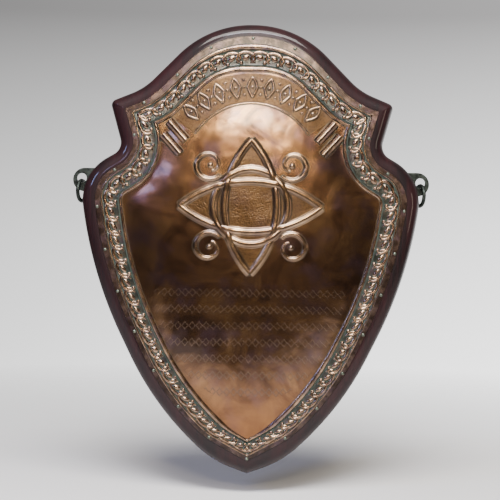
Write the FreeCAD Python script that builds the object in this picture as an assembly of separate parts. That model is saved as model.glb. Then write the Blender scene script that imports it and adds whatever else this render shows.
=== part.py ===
"""Perpetual award shield: a wooden board faced with one sheet of embossed copper.

Units are millimetres. The front faces -Y, +X is to the viewer's right and +Z is up.
The origin is the middle of the flat back face, which rests on the wall.
"""

import FreeCAD, Part
import math
import os
from FreeCAD import Vector

# Overall sizes of the board
shield_height = 448.0
shield_width = 335.0
board_thickness = 24.0
front_round = 12.0
front_round_steps = 4
back_round = 1.5

# Right half of the board's outline, apex first and tip last: each corner's place across
# and up as shares of half the width and half the height, and its rounding as a share of
# half the width. The corners are crown, sweep, ear, notch, shoulder, side, flank, foot.
outline_shares = [
    (0.000, 1.000, 0.000),
    (0.263, 1.000, 0.627),
    (0.644, 0.711, 0.394),
    (0.845, 0.649, 0.036),
    (0.767, 0.439, 0.078),
    (1.029, 0.325, 0.293),
    (0.939, -0.126, 2.570),
    (0.567, -0.691, 1.790),
    (0.218, -0.940, 0.623),
    (0.000, -1.000, 0.000),
]
straight_share = 0.97
least_rounding = 0.6

# Copper sheet: its thickness, the wood left bare round it and its point, cut sharper
sheet_thickness = 0.9
bare_margin = 13.2
foot_slide = 17.0

# Worked rim of the sheet at the crown, from its edge inwards
flange_width = 7.4
outer_bead_width = 6.2
outer_bead_height = 1.8
channel_width = 16.2
inner_bead_width = 6.0
inner_bead_height = 1.6
bead_wall_share = 0.25
bead_steps = 3
bead_hollow_steps = 2

# Share of each crown width that every side of the outline takes, crown first and tip last
flange_shares = [1.00, 0.81, 0.73, 0.70, 0.57, 0.84, 0.57, 0.54, 0.54]
outer_bead_shares = [1.00, 0.42, 0.29, 0.32, 0.35, 0.29, 0.32, 0.32, 0.32]
channel_shares = [1.00, 0.94, 0.95, 1.01, 1.15, 0.99, 0.85, 0.78, 0.65]
inner_bead_shares = [1.00, 0.77, 0.67, 0.60, 0.53, 0.47, 0.80, 0.90, 0.53]

# Raised field inside the rim
field_rise = 3.6
field_slope_shares = [0.86, 0.70]
field_middle_share = 0.036

# Riband across the top of the field, with two rolls at each end
riband_radius = 98.0
riband_width = 29.5
riband_half_angle = 57.0
riband_relief = 0.5
riband_line_width = 2.4
riband_line_relief = 0.8
roll_radius = 4.8
roll_relief = 1.9
roll_length = 25.0
roll_pitch = 14.2
roll_slope = 48.0
roll_gap_angle = 5.0

# Strapwork knot in the middle of the field
knot_middle_share = 0.1875
knot_height = 132.0
knot_width = 140.0
tall_loop_width = 52.0
wide_loop_height = 50.0
knot_ring_radius = 37.0
strap_width = 8.8
strap_relief = 2.4
scroll_reach = 57.0
scroll_radius = 14.0
scroll_width = 5.6
scroll_sweep = 235.0
curl_radius = 8.0
curl_sweep = 150.0
boss_radius = 4.2
boss_crown_radius = 2.4
boss_sides = 12
relief_root = 0.5
profile_sides = 4
facet_angle = 15.0

# Cut pins that hold the sheet's flange to the board: low round heads, square shanks
pin_steps_per_side = 13
pin_inset = 2.2
pin_head_radius = 1.6
pin_crown_radius = 0.9
pin_head_height = 0.9
pin_head_sides = 8
pin_shank_width = 1.1
pin_length = 9.0

# Hanger plates, let in flush behind the shoulders
plate_thickness = 3.0
plate_clearance = 0.2
eye_radius = 11.8
eye_up_share = 0.302
plate_reach = 56.0
hole_radius = 4.9
hole_out = 3.0
hole_up = 1.6

# Countersunk screws of the hanger plates
screw_head_radius = 3.8
screw_head_depth = 2.0
screw_shank_radius = 1.8
screw_length = 16.0
screw_point = 4.0
screw_point_radius = 0.5
screw_clearance = 0.3
screw_sides = 12
slot_width = 1.0
slot_depth = 0.8
first_screw = 20.0
screw_pitch = 26.0

# Loose rings that hang in the eyes
ring_radius = 10.25
ring_wire_radius = 2.0
ring_wire_sides = 8
ring_play = 0.35
ring_turn = 16.0

overrun = 1.0
same_level = 0.001

half_width = shield_width / 2
half_height = shield_height / 2
field_middle_z = half_height * field_middle_share
knot_middle_z = half_height * knot_middle_share
rim_bands = [
    (flange_width, flange_shares),
    (outer_bead_width, outer_bead_shares),
    (channel_width, channel_shares),
    (inner_bead_width, inner_bead_shares),
]
field_edge = len(rim_bands)
eye_x = half_width
eye_z = half_height * eye_up_share
full_turn = 360.0
half_turn = full_turn / 2
quarter_turn = full_turn / 4


def board_corners():
    """Corners of the right half of the board's outline."""
    return [Vector(x * half_width, 0, z * half_height) for x, z, r in outline_shares]


def board_roundings():
    """Radius at each corner of the board's outline."""
    return [r * half_width for x, z, r in outline_shares]


def inward(start, end):
    """Unit normal that points from an outline's side to the inside."""
    along = (end - start).normalize()
    return Vector(along.z, 0, -along.x)


def crossing(p, p_along, q, q_along):
    """Point where two lines in the outline's plane meet."""
    cross = p_along.x * q_along.z - p_along.z * q_along.x
    gap = q - p
    reach = (gap.x * q_along.z - gap.z * q_along.x) / cross
    return p + p_along * reach


def inset_corners(corners, insets):
    """Corners of the half outline after each side has moved inwards by its own inset."""
    starts = []
    alongs = []
    for start, end, inset in zip(corners, corners[1:], insets):
        starts.append(start + inward(start, end) * inset)
        alongs.append((end - start).normalize())
    axis = Vector(0, 0, 1)
    middle = Vector(0, 0, 0)
    moved = [crossing(starts[0], alongs[0], middle, axis)]
    for i in range(len(starts) - 1):
        moved.append(crossing(starts[i], alongs[i], starts[i + 1], alongs[i + 1]))
    moved.append(crossing(starts[-1], alongs[-1], middle, axis))
    return moved


def turn_at(before, corner, after):
    """Signed turn at a corner, in radians: positive where the outline bulges."""
    a = (corner - before).normalize()
    b = (after - corner).normalize()
    return math.atan2(b.x * a.z - b.z * a.x, a.dot(b))


def inset_roundings(corners, roundings, insets):
    """Radii after an inset: smaller at a bulging corner and larger at a hollow one."""
    moved = [0.0]
    for i in range(1, len(corners) - 1):
        inset = (insets[i - 1] + insets[i]) / 2
        side = 1 if turn_at(corners[i - 1], corners[i], corners[i + 1]) > 0 else -1
        moved.append(max(roundings[i] - side * inset, least_rounding))
    moved.append(0.0)
    return moved


def tangent_reaches(corners, roundings):
    """Distance from each corner to where its arc starts, kept within its two sides."""
    reaches = [0.0] * len(corners)
    for i in range(1, len(corners) - 1):
        turn = abs(turn_at(corners[i - 1], corners[i], corners[i + 1]))
        reaches[i] = roundings[i] * math.tan(turn / 2)
    for i in range(len(corners) - 1):
        room = corners[i].distanceToPoint(corners[i + 1]) * straight_share
        wanted = reaches[i] + reaches[i + 1]
        if wanted > room:
            reaches[i] *= room / wanted
            reaches[i + 1] *= room / wanted
    return reaches


def half_outline(corners, roundings):
    """Lines and arcs of the right half, apex to tip; the least roundings are cut straight."""
    reaches = tangent_reaches(corners, roundings)
    edges = []
    last = corners[0]
    for i in range(1, len(corners) - 1):
        back = (corners[i - 1] - corners[i]).normalize()
        ahead = (corners[i + 1] - corners[i]).normalize()
        start = corners[i] + back * reaches[i]
        end = corners[i] + ahead * reaches[i]
        half_opening = back.getAngle(ahead) / 2
        radius = reaches[i] * math.tan(half_opening)
        bisector = (back + ahead).normalize()
        crown = corners[i] + bisector * (radius / math.sin(half_opening) - radius)
        edges.append(Part.LineSegment(last, start).toShape())
        if roundings[i] > least_rounding:
            edges.append(Part.Arc(start, crown, end).toShape())
        else:
            edges.append(Part.LineSegment(start, end).toShape())
        last = end
    edges.append(Part.LineSegment(last, corners[-1]).toShape())
    return edges


def mirrored_edge(edge):
    """The same edge on the other side of the middle plane, run the other way."""
    first = edge.valueAt(edge.FirstParameter)
    middle = edge.valueAt((edge.FirstParameter + edge.LastParameter) / 2)
    last = edge.valueAt(edge.LastParameter)
    a, b, c = (Vector(-p.x, p.y, p.z) for p in (last, middle, first))
    if isinstance(edge.Curve, Part.Line):
        return Part.LineSegment(a, c).toShape()
    return Part.Arc(a, b, c).toShape()


def ring_edges(corners, roundings, height):
    """Closed outline as a list of edges, at a height in front of the back face."""
    right = half_outline(corners, roundings)
    left = [mirrored_edge(edge) for edge in reversed(right)]
    start = left[-1].valueAt(left[-1].FirstParameter)
    end = right[0].valueAt(right[0].LastParameter)
    crown = Part.LineSegment(start, end).toShape()
    edges = [crown] + right[1:] + left[:-1]
    for edge in edges:
        edge.translate(Vector(0, -height, 0))
    return edges


def band(ring, other):
    """Faces between two rings of like edges: one flat face, or a ruled one for each edge."""
    level = ring[0].valueAt(0.0).y
    if abs(level - other[0].valueAt(0.0).y) > same_level:
        return [Part.makeRuledSurface(a, b) for a, b in zip(ring, other)]
    return [Part.makeFace([Part.Wire(ring), Part.Wire(other)], "Part::FaceMakerBullseye")]


def facets(section, following):
    """Flat faces between two closed lists of points, four corners to a face."""
    faces = []
    for i in range(len(section) - 1):
        corners = [section[i], section[i + 1], following[i + 1], following[i], section[i]]
        faces.append(Part.Face(Part.makePolygon(corners)))
    return faces


def cap(ring):
    """Flat face inside a ring."""
    return [Part.Face(Part.Wire(ring))]


def outward(solid):
    """The solid with its faces turned outwards."""
    if solid.Volume < 0:
        solid.reverse()
    return solid


def solid_from(faces):
    """Closed solid from faces that share their edges."""
    shell = Part.makeShell(faces)
    shell.sewShape()
    return outward(Part.Solid(shell.Shells[0]))


def board_ring(inset, height):
    """Ring that keeps the same distance inside the board's outline all round."""
    corners = board_corners()
    insets = [inset] * (len(corners) - 1)
    roundings = inset_roundings(corners, board_roundings(), insets)
    return ring_edges(inset_corners(corners, insets), roundings, height)


def sheet_corners():
    """Corners of the sheet's own outline: the board's, moved in, with a sharper point."""
    corners = board_corners()
    moved = inset_corners(corners, [bare_margin] * (len(corners) - 1))
    up_the_side = (moved[-3] - moved[-2]).normalize()
    moved[-2] = moved[-2] + up_the_side * foot_slide
    return moved


def sheet_roundings():
    """Radii of the sheet's own outline."""
    corners = board_corners()
    insets = [bare_margin] * (len(corners) - 1)
    return inset_roundings(corners, board_roundings(), insets)


def rim_insets(place):
    """Inset of every side at a place in the rim, counted in bands from the sheet's edge."""
    insets = [0.0] * len(flange_shares)
    for number, (width, shares) in enumerate(rim_bands):
        part = min(max(place - number, 0.0), 1.0)
        insets = [inset + part * width * share for inset, share in zip(insets, shares)]
    return insets


def sheet_ring(place, height):
    """Ring in the worked rim: place counted in bands, height above the board."""
    corners = sheet_corners()
    insets = rim_insets(place)
    roundings = inset_roundings(corners, sheet_roundings(), insets)
    moved = inset_corners(corners, insets)
    return ring_edges(moved, roundings, board_thickness + height)


def bead_stations(number, side_share, height, base, steps):
    """Place and height of the points across a half-round bead that fills a band."""
    stations = []
    for step in range(steps + 1):
        angle = math.pi * step / steps
        across = side_share + (1 - 2 * side_share) * (1 - math.cos(angle)) / 2
        stations.append((number + across, base + height * math.sin(angle)))
    return stations


def rim_stations(wall, base, steps):
    """Place and height across the rim: behind, the beads are hollow to a wall's depth."""
    side_share = bead_wall_share if wall else 0.0
    outer = bead_stations(1, side_share, outer_bead_height - wall, base, steps)
    inner = bead_stations(field_edge - 1, side_share, inner_bead_height - wall, base,
                          steps)
    return [(0.0, base)] + outer + inner + ([(field_edge, base)] if wall else [])


def field_height(share):
    """Rise of the field above its own edge where the outline is shrunk to a share."""
    inmost = field_slope_shares[-1]
    part = (share - inmost) / (1 - inmost)
    return field_rise * (1 - part * part)


def field_rings(foot, base):
    """Rings of the pillow-shaped field, shrunk towards the middle as they rise."""
    middle = Vector(0, -board_thickness - base, field_middle_z)
    rings = []
    for share in field_slope_shares:
        ring = []
        for edge in foot:
            shrunk = edge.copy()
            shrunk.scale(share, middle)
            shrunk.translate(Vector(0, -field_height(share), 0))
            ring.append(shrunk)
        rings.append(ring)
    return rings


def skin(wall, base, steps):
    """Faces of one side of the sheet, and its outermost ring."""
    stations = rim_stations(wall, base, steps)
    rings = [sheet_ring(place, height) for place, height in stations]
    rings += field_rings(rings[-1], base)
    faces = []
    for ring, following in zip(rings, rings[1:]):
        faces += band(ring, following)
    return faces + cap(rings[-1]), rings[0]


def half_round(centre, across, up, radius, rise):
    """Half-round section, flat side down, across and up given as unit vectors."""
    points = []
    for step in range(profile_sides + 1):
        angle = math.pi * step / profile_sides
        side = across * (radius * math.cos(angle))
        points.append(centre + side + up * (rise * math.sin(angle)))
    return points + [points[0]]


def turned(section, centre, axis, sweep):
    """Solid of a many-sided section taken round an axis in short straight runs."""
    steps = round(sweep / facet_angle)
    sections = []
    for step in range(steps + 1):
        turn = FreeCAD.Rotation(axis, sweep * step / steps)
        sections.append([centre + turn.multVec(p - centre) for p in section])
    faces = []
    if sweep < full_turn:
        faces = [Part.Face(Part.makePolygon(end)) for end in (sections[0], sections[-1])]
    else:
        sections[-1] = sections[0]
    for part, following in zip(sections, sections[1:]):
        faces += facets(part, following)
    return solid_from(faces)


def strap_arc(middle_x, middle_z, radius, width, start_angle, sweep, foot):
    """Raised half-round strap along an arc, in degrees from +X towards +Z."""
    front = Vector(0, -1, 0)
    centre = Vector(middle_x, -foot, middle_z)
    angle = math.radians(start_angle)
    out = Vector(math.cos(angle), 0, math.sin(angle))
    section = half_round(centre + out * radius, out, front, width / 2,
                         strap_relief + relief_root)
    return turned(section, centre, front, sweep)


def pointed_loop(length, width, upright, foot):
    """Two straps that bow apart and cross at both ends, as a pointed oval."""
    half_length = length / 2
    half_gap = width / 2
    radius = (half_length ** 2 + half_gap ** 2) / width
    back_off = radius - half_gap
    spread = math.degrees(math.asin(half_length / radius))
    straps = []
    for side in (1, -1):
        facing = 0.0 if side > 0 else half_turn
        x, z = -side * back_off, 0.0
        if upright:
            place = (x, knot_middle_z + z)
        else:
            place = (z, knot_middle_z + x)
            facing += quarter_turn
        straps.append(strap_arc(place[0], place[1], radius, strap_width,
                                facing - spread, 2 * spread, foot))
    return straps


def scroll(side, level, foot):
    """Scroll that leaves the knot's ring at one corner and curls up round a boss."""
    reach = scroll_reach * math.sqrt(0.5)
    to_knot = math.degrees(math.atan2(-level, -side))
    way = side * level
    start = to_knot if way > 0 else to_knot - scroll_sweep
    x = side * reach
    z = knot_middle_z + level * reach
    outer = strap_arc(x, z, scroll_radius, scroll_width, start, scroll_sweep, foot)
    end = math.radians(to_knot + way * scroll_sweep)
    shift = scroll_radius - curl_radius
    x += math.cos(end) * shift
    z += math.sin(end) * shift
    end_angle = math.degrees(end)
    start = end_angle if way > 0 else end_angle - curl_sweep
    inner = strap_arc(x, z, curl_radius, scroll_width, start, curl_sweep, foot)
    return [outer, inner, boss(x, z, foot)]


def boss(x, z, foot):
    """Many-sided boss in the eye of a scroll."""
    return tapered(Vector(x, 0, z), foot, boss_radius,
                   foot + strap_relief + relief_root, boss_crown_radius, boss_sides)


def knot_solids():
    """Raised strapwork: two pointed loops through a ring, with four scrolls."""
    foot = board_thickness + field_rise + sheet_thickness - relief_root
    straps = pointed_loop(knot_height, tall_loop_width, True, foot)
    straps += pointed_loop(knot_width, wide_loop_height, False, foot)
    straps.append(strap_arc(0.0, knot_middle_z, knot_ring_radius, strap_width, 0.0,
                            full_turn, foot))
    for side in (1, -1):
        for level in (1, -1):
            straps += scroll(side, level, foot)
    return straps


def riband_middle_z():
    """Height of the centre that the riband's arcs are struck from."""
    field_top = sheet_ring(field_edge, 0.0)[0].valueAt(0.0).z
    return field_top - riband_radius


def sector(inner, outer, half_angle, foot, rise):
    """Part of a flat ring about the vertical, standing up from its foot."""
    centre = Vector(0, -foot, riband_middle_z())
    front = Vector(0, -1, 0)
    start = math.radians(quarter_turn - half_angle)
    out = Vector(math.cos(start), 0, math.sin(start))
    near = centre + out * inner
    far = centre + out * outer
    outline = [near, far, far + front * rise, near + front * rise, near]
    face = Part.Face(Part.makePolygon(outline))
    return outward(face.revolve(centre, front, 2 * half_angle))


def riband_solids():
    """Raised riband, the line along its lower edge and the rolls at its ends."""
    foot = board_thickness + sheet_thickness / 2
    top = field_rise + sheet_thickness / 2 + riband_relief
    inner = riband_radius - riband_width
    solids = [sector(inner, riband_radius - overrun, riband_half_angle, foot, top)]
    solids.append(sector(inner - riband_line_width, inner, riband_half_angle, foot,
                         top + riband_line_relief))
    for side in (1, -1):
        solids += [roll(side, count, foot, top + roll_relief) for count in (0, 1)]
    return solids


def roll(side, count, foot, rise):
    """One rolled-up end of the riband: a half-round rod across the band."""
    middle_radius = riband_radius - riband_width / 2
    lean = riband_half_angle + roll_gap_angle
    lean += math.degrees(count * roll_pitch / middle_radius)
    angle = math.radians(quarter_turn - lean)
    out = Vector(math.cos(angle), 0, math.sin(angle))
    place = Vector(0, -foot, riband_middle_z()) + out * middle_radius
    slope = math.radians(roll_slope)
    along = Vector(math.cos(slope), 0, math.sin(slope))
    across = Vector(-along.z, 0, along.x)
    start = place - along * (roll_length / 2)
    section = half_round(start, across, Vector(0, -1, 0), roll_radius, rise)
    face = Part.Face(Part.makePolygon(section))
    return sided(outward(face.extrude(along * roll_length)), side)


def pin_places():
    """Evenly spaced places of the pins along the flange, apex first."""
    corners = sheet_corners()
    insets = [pin_inset] * len(flange_shares)
    roundings = inset_roundings(corners, sheet_roundings(), insets)
    half = Part.Wire(half_outline(inset_corners(corners, insets), roundings))
    right = half.discretize(Number=pin_steps_per_side + 1)
    left = [Vector(-p.x, p.y, p.z) for p in right[1:-1]]
    return right + left


def shank(place, height):
    """Square shank of a pin, from a height above the back face to the pin's point."""
    half = pin_shank_width / 2
    end = board_thickness + sheet_thickness - pin_length
    corner = place + Vector(-half, -height, -half)
    return Part.makeBox(pin_shank_width, height - end, pin_shank_width, corner)


def flat_outline(place, radius, height, sides):
    """Closed many-sided outline about a point, at a height in front of the back face."""
    points = []
    for step in range(sides + 1):
        angle = 2 * math.pi * step / sides
        points.append(place + Vector(radius * math.cos(angle), -height,
                                     radius * math.sin(angle)))
    return points


def tapered(place, near, near_radius, far, far_radius, sides):
    """Many-sided peg between two heights, with its radius at each of them."""
    foot = flat_outline(place, near_radius, near, sides)
    crown = flat_outline(place, far_radius, far, sides)
    ends = [Part.Face(Part.makePolygon(end)) for end in (foot, crown)]
    return solid_from(ends + facets(foot, crown))


def pin(place):
    """One pin, its low round head on the flange and its shank in the board."""
    seat = board_thickness + sheet_thickness
    head = tapered(place, seat, pin_head_radius, seat + pin_head_height,
                   pin_crown_radius, pin_head_sides)
    return head.fuse(shank(place, seat))


def pin_hole(place):
    """Hole that a pin's shank fills in the sheet and the board."""
    return shank(place, board_thickness + sheet_thickness + overrun)


def sided(shape, side):
    """The shape as built for the right side, or its mirror image for the left."""
    if side > 0:
        return shape
    return shape.mirror(Vector(0, 0, 0), Vector(1, 0, 0))


def plate_blank(growth, depth):
    """Bar with two round ends that a hanger plate is cut from, on the right side."""
    radius = eye_radius + growth
    back = Vector(0, 1, 0)
    outer = Part.makeCylinder(radius, depth, Vector(eye_x, -depth, eye_z), back)
    inner_x = eye_x - plate_reach
    inner = Part.makeCylinder(radius, depth, Vector(inner_x, -depth, eye_z), back)
    corner = Vector(inner_x, -depth, eye_z - radius)
    bar = Part.makeBox(plate_reach, depth, 2 * radius, corner)
    return outer.fuse(bar).fuse(inner).removeSplitter()


def screw_places():
    """Places of one right-hand plate's screws on the back face."""
    return [Vector(eye_x - first_screw - i * screw_pitch, 0, eye_z) for i in range(2)]


def countersunk(place, clearance):
    """Solid of a screw without its slot, or of its hole where there is clearance."""
    radius = screw_shank_radius + clearance
    neck = screw_length - screw_point
    head = tapered(place, 0.0, screw_head_radius, screw_head_depth, radius, screw_sides)
    return head.fuse(tapered(place, 0.0, radius, neck, radius, screw_sides))


def screw_tip(place):
    """Tapered point of a screw."""
    return tapered(place, screw_length - screw_point, screw_shank_radius, screw_length,
                   screw_point_radius, screw_sides)


def screw(place):
    """One countersunk screw: slotted head flush with the plate, tapered point."""
    corner = place + Vector(-slot_width / 2, -slot_depth, -screw_head_radius)
    slot = Part.makeBox(slot_width, slot_depth + overrun, 2 * screw_head_radius, corner)
    return countersunk(place, 0.0).fuse(screw_tip(place)).cut(slot).removeSplitter()


def screw_bore(place):
    """Bore that a screw's thread fills in the board."""
    neck = screw_length - screw_point
    thread = tapered(place, 0.0, screw_shank_radius, neck, screw_shank_radius,
                     screw_sides)
    return thread.fuse(screw_tip(place))


def hole_middle():
    """Middle of the right eye's hole, halfway through its plate."""
    return Vector(eye_x + hole_out, -plate_thickness / 2, eye_z + hole_up)


def hanger(side):
    """Hanger plate with its eye, let in flush behind one shoulder."""
    plate = plate_blank(0.0, plate_thickness)
    start = hole_middle() + Vector(0, -plate_thickness, 0)
    plate = plate.cut(Part.makeCylinder(hole_radius, 2 * plate_thickness, start,
                                        Vector(0, 1, 0)))
    for place in screw_places():
        plate = plate.cut(countersunk(place, screw_clearance))
    return sided(plate, side)


def ring_middle():
    """Middle of the right ring as it hangs in its eye."""
    drop = hole_radius - ring_wire_radius - ring_play + ring_radius
    return hole_middle() + Vector(0, 0, -drop)


def loose_ring(side):
    """Round iron ring that hangs through an eye, its outer half turned to the front."""
    turn = math.radians(ring_turn)
    normal = Vector(math.cos(turn), math.sin(turn), 0)
    up = Vector(0, 0, 1)
    points = []
    for step in range(ring_wire_sides + 1):
        angle = 2 * math.pi * step / ring_wire_sides
        out = up * (ring_radius + ring_wire_radius * math.cos(angle))
        points.append(ring_middle() + out + normal * (ring_wire_radius * math.sin(angle)))
    return sided(turned(points, ring_middle(), normal, full_turn), side)


def backboard():
    """Wooden board: rounded front edge, pockets for the plates, bores for fasteners."""
    rings = [board_ring(back_round, 0.0), board_ring(0.0, back_round)]
    for step in range(front_round_steps + 1):
        angle = math.radians(quarter_turn) * step / front_round_steps
        inset = front_round * (1 - math.cos(angle))
        height = board_thickness - front_round * (1 - math.sin(angle))
        rings.append(board_ring(inset, height))
    faces = cap(rings[0])
    for ring, following in zip(rings, rings[1:]):
        faces += band(ring, following)
    board = solid_from(faces + cap(rings[-1]))
    pocket = plate_blank(plate_clearance, plate_thickness)
    tools = [sided(pocket, side) for side in (1, -1)]
    tools += [sided(screw_bore(p), side) for p in screw_places() for side in (1, -1)]
    tools += [pin_hole(place) for place in pin_places()]
    return board.cut(Part.makeCompound(tools))


def copper_plate():
    """Embossed sheet: flange, hollow beads, channel, raised field, riband and knot."""
    front_faces, front_edge = skin(0.0, sheet_thickness, bead_steps)
    back_faces, back_edge = skin(sheet_thickness, 0.0, bead_hollow_steps)
    sheet = solid_from(front_faces + band(front_edge, back_edge) + back_faces)
    sheet = sheet.multiFuse(riband_solids() + knot_solids())
    return sheet.cut(Part.makeCompound([pin_hole(place) for place in pin_places()]))


def edge_pins():
    """All the pins round the sheet, as separate solids."""
    return Part.makeCompound([pin(place) for place in pin_places()])


def hanger_screws(side):
    """The two screws of one hanger plate, as separate solids."""
    return Part.makeCompound([sided(screw(place), side) for place in screw_places()])


def main():
    """Build every piece and write it to its own file."""
    os.makedirs("parts", exist_ok=True)
    pieces = {
        "backboard": backboard(),
        "copper_plate": copper_plate(),
        "edge_pins": edge_pins(),
        "left_hanger": hanger(-1),
        "right_hanger": hanger(1),
        "left_hanger_screws": hanger_screws(-1),
        "right_hanger_screws": hanger_screws(1),
        "left_ring": loose_ring(-1),
        "right_ring": loose_ring(1),
    }
    for name, shape in pieces.items():
        shape.exportStep(f"parts/{name}.step")
        print(name, "valid" if shape.isValid() else "NOT VALID", len(shape.Solids),
              "solids", round(shape.Volume), "mm3")


main()
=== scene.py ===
"""Perpetual award shield: polished mahogany board, embossed copper sheet, pins, hangers and rings.

Every piece is modelled flat on the bench, in millimetres: X across the shield, Y up it and Z out
of its front. mesh_from() turns a finished mesh upright, into metres, with its front towards -Y.
"""

import bisect
import logging
import math
from dataclasses import dataclass, field
from enum import Enum, IntEnum
from typing import Any, Iterable, Optional, Sequence

import bmesh
import bpy
import numpy as np
from bmesh.types import BMesh, BMVert
from bpy.types import Curve, Material, Mesh, Node, NodeSocket, NodeTree, Object
from mathutils import Matrix, Vector, noise

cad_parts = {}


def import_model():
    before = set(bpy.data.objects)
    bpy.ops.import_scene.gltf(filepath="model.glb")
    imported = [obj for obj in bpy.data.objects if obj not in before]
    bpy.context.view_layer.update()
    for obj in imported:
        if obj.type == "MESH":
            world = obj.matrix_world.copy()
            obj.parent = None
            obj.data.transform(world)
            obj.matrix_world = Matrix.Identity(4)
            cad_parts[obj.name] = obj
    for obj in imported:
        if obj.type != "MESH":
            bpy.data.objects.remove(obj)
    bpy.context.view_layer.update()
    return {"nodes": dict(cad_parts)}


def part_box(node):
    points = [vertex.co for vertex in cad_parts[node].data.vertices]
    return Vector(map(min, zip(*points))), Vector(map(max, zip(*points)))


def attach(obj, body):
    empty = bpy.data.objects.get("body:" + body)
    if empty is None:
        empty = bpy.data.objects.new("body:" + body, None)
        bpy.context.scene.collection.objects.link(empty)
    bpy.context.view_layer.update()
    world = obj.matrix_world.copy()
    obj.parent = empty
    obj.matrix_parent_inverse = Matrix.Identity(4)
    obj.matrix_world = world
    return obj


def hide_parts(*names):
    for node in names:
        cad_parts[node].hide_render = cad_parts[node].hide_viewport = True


LOG = logging.getLogger("shield")

# Body that every new piece rides on
SHIELD_BODY = "shield"

MM = 0.001
UPRIGHT = Matrix.Rotation(math.radians(90), 4, "X") @ Matrix.Scale(MM, 4)
MIRRORED = Matrix.Scale(-1, 4, Vector((1, 0, 0)))
RIGHT, LEFT = 1, -1

# Points of a swept strap that are closer than this are one
MERGE_MM = 0.001

# Number of the Mix node's colour among its outputs
MIXED_COLOUR = 2

# Waves that the wave texture makes in a unit at a scale of 1
WAVES_PER_UNIT = 20 / (2 * math.pi)


class Slot(Enum):
    """Names of the record's material slots."""

    MAHOGANY = "mahogany"
    COPPER = "copper"
    PINS = "pin_metal"


class Band(IntEnum):
    """Bands of the sheet's worked rim, from its edge inwards."""

    FLANGE = 0
    OUTER_BEAD = 1
    CHANNEL = 2
    INNER_BEAD = 3
    FIELD = 4


class SheetFinish(IntEnum):
    """Places of the sheet's finishes among its materials."""

    FIELD = 0
    CHANNEL = 1
    FLANGE = 2
    BEADS = 3


def srgb(code: str) -> tuple[float, float, float, float]:
    """Linear colour of an sRGB hex value.

    Args:
        code: Six hex digits after a hash.

    Returns:
        Red, green, blue and alpha for a shader socket.
    """
    parts = [int(code[i : i + 2], 16) / 255 for i in (1, 3, 5)]
    linear = [p / 12.92 if p <= 0.04045 else ((p + 0.055) / 1.055) ** 2.4 for p in parts]
    return (*linear, 1.0)


def per_size(size_mm: float) -> float:
    """Texture scale that gives features of a real size.

    Args:
        size_mm: Size of one feature on the object, in millimetres.

    Returns:
        Features in a metre.
    """
    return 1 / (size_mm * MM)


def add_node(tree: NodeTree, kind: str, *values: Any,
             stops: Iterable[tuple[float, Any]] = (), **options: Any) -> Node:
    """Add a shader node with its settings, values and links.

    Args:
        tree: Node tree that gets the node.
        kind: Name of the node type, less the leading ShaderNode.
        *values: Values of the first inputs in order. A node stands for its first output.
        stops: Place and colour, or grey level, of every stop of a colour ramp.
        **options: Settings of the node, in small letters, and values of inputs by their name
            or identifier, which have a capital, with _ for a space.

    Returns:
        The new node.
    """
    node = tree.nodes.new("ShaderNode" + kind)
    for name, value in options.items():
        if name.islower():
            setattr(node, name, value)
    stops = list(stops)
    elements = node.color_ramp.elements if stops else ()
    while len(elements) < len(stops):
        elements.new(0.5)
    for element, (place, colour) in zip(elements, stops):
        element.position = place
        element.color = colour if isinstance(colour, tuple) else (colour, colour, colour, 1.0)
    pairs = list(zip(node.inputs, values))
    for name, value in options.items():
        if not name.islower():
            socket = next(socket for socket in node.inputs
                          if name in (socket.identifier, socket.name.replace(" ", "_")))
            pairs.append((socket, value))
    for socket, value in pairs:
        if isinstance(value, Node):
            value = value.outputs[0]
        if isinstance(value, NodeSocket):
            tree.links.new(value, socket)
        else:
            socket.default_value = value
    return node


def fresh_material(name: str) -> tuple[Material, NodeTree]:
    """New material with an empty node tree."""
    material = bpy.data.materials.new(name)
    material.use_nodes = True
    material.node_tree.nodes.clear()
    return material, material.node_tree


@dataclass
class Skin:
    """Layers of a copper finish while it is built up, as numbers, sockets or nodes."""

    tree: NodeTree
    place: NodeSocket
    clouds: Node
    colour: Any
    height: Any
    rough: Any
    wax: Any


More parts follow.
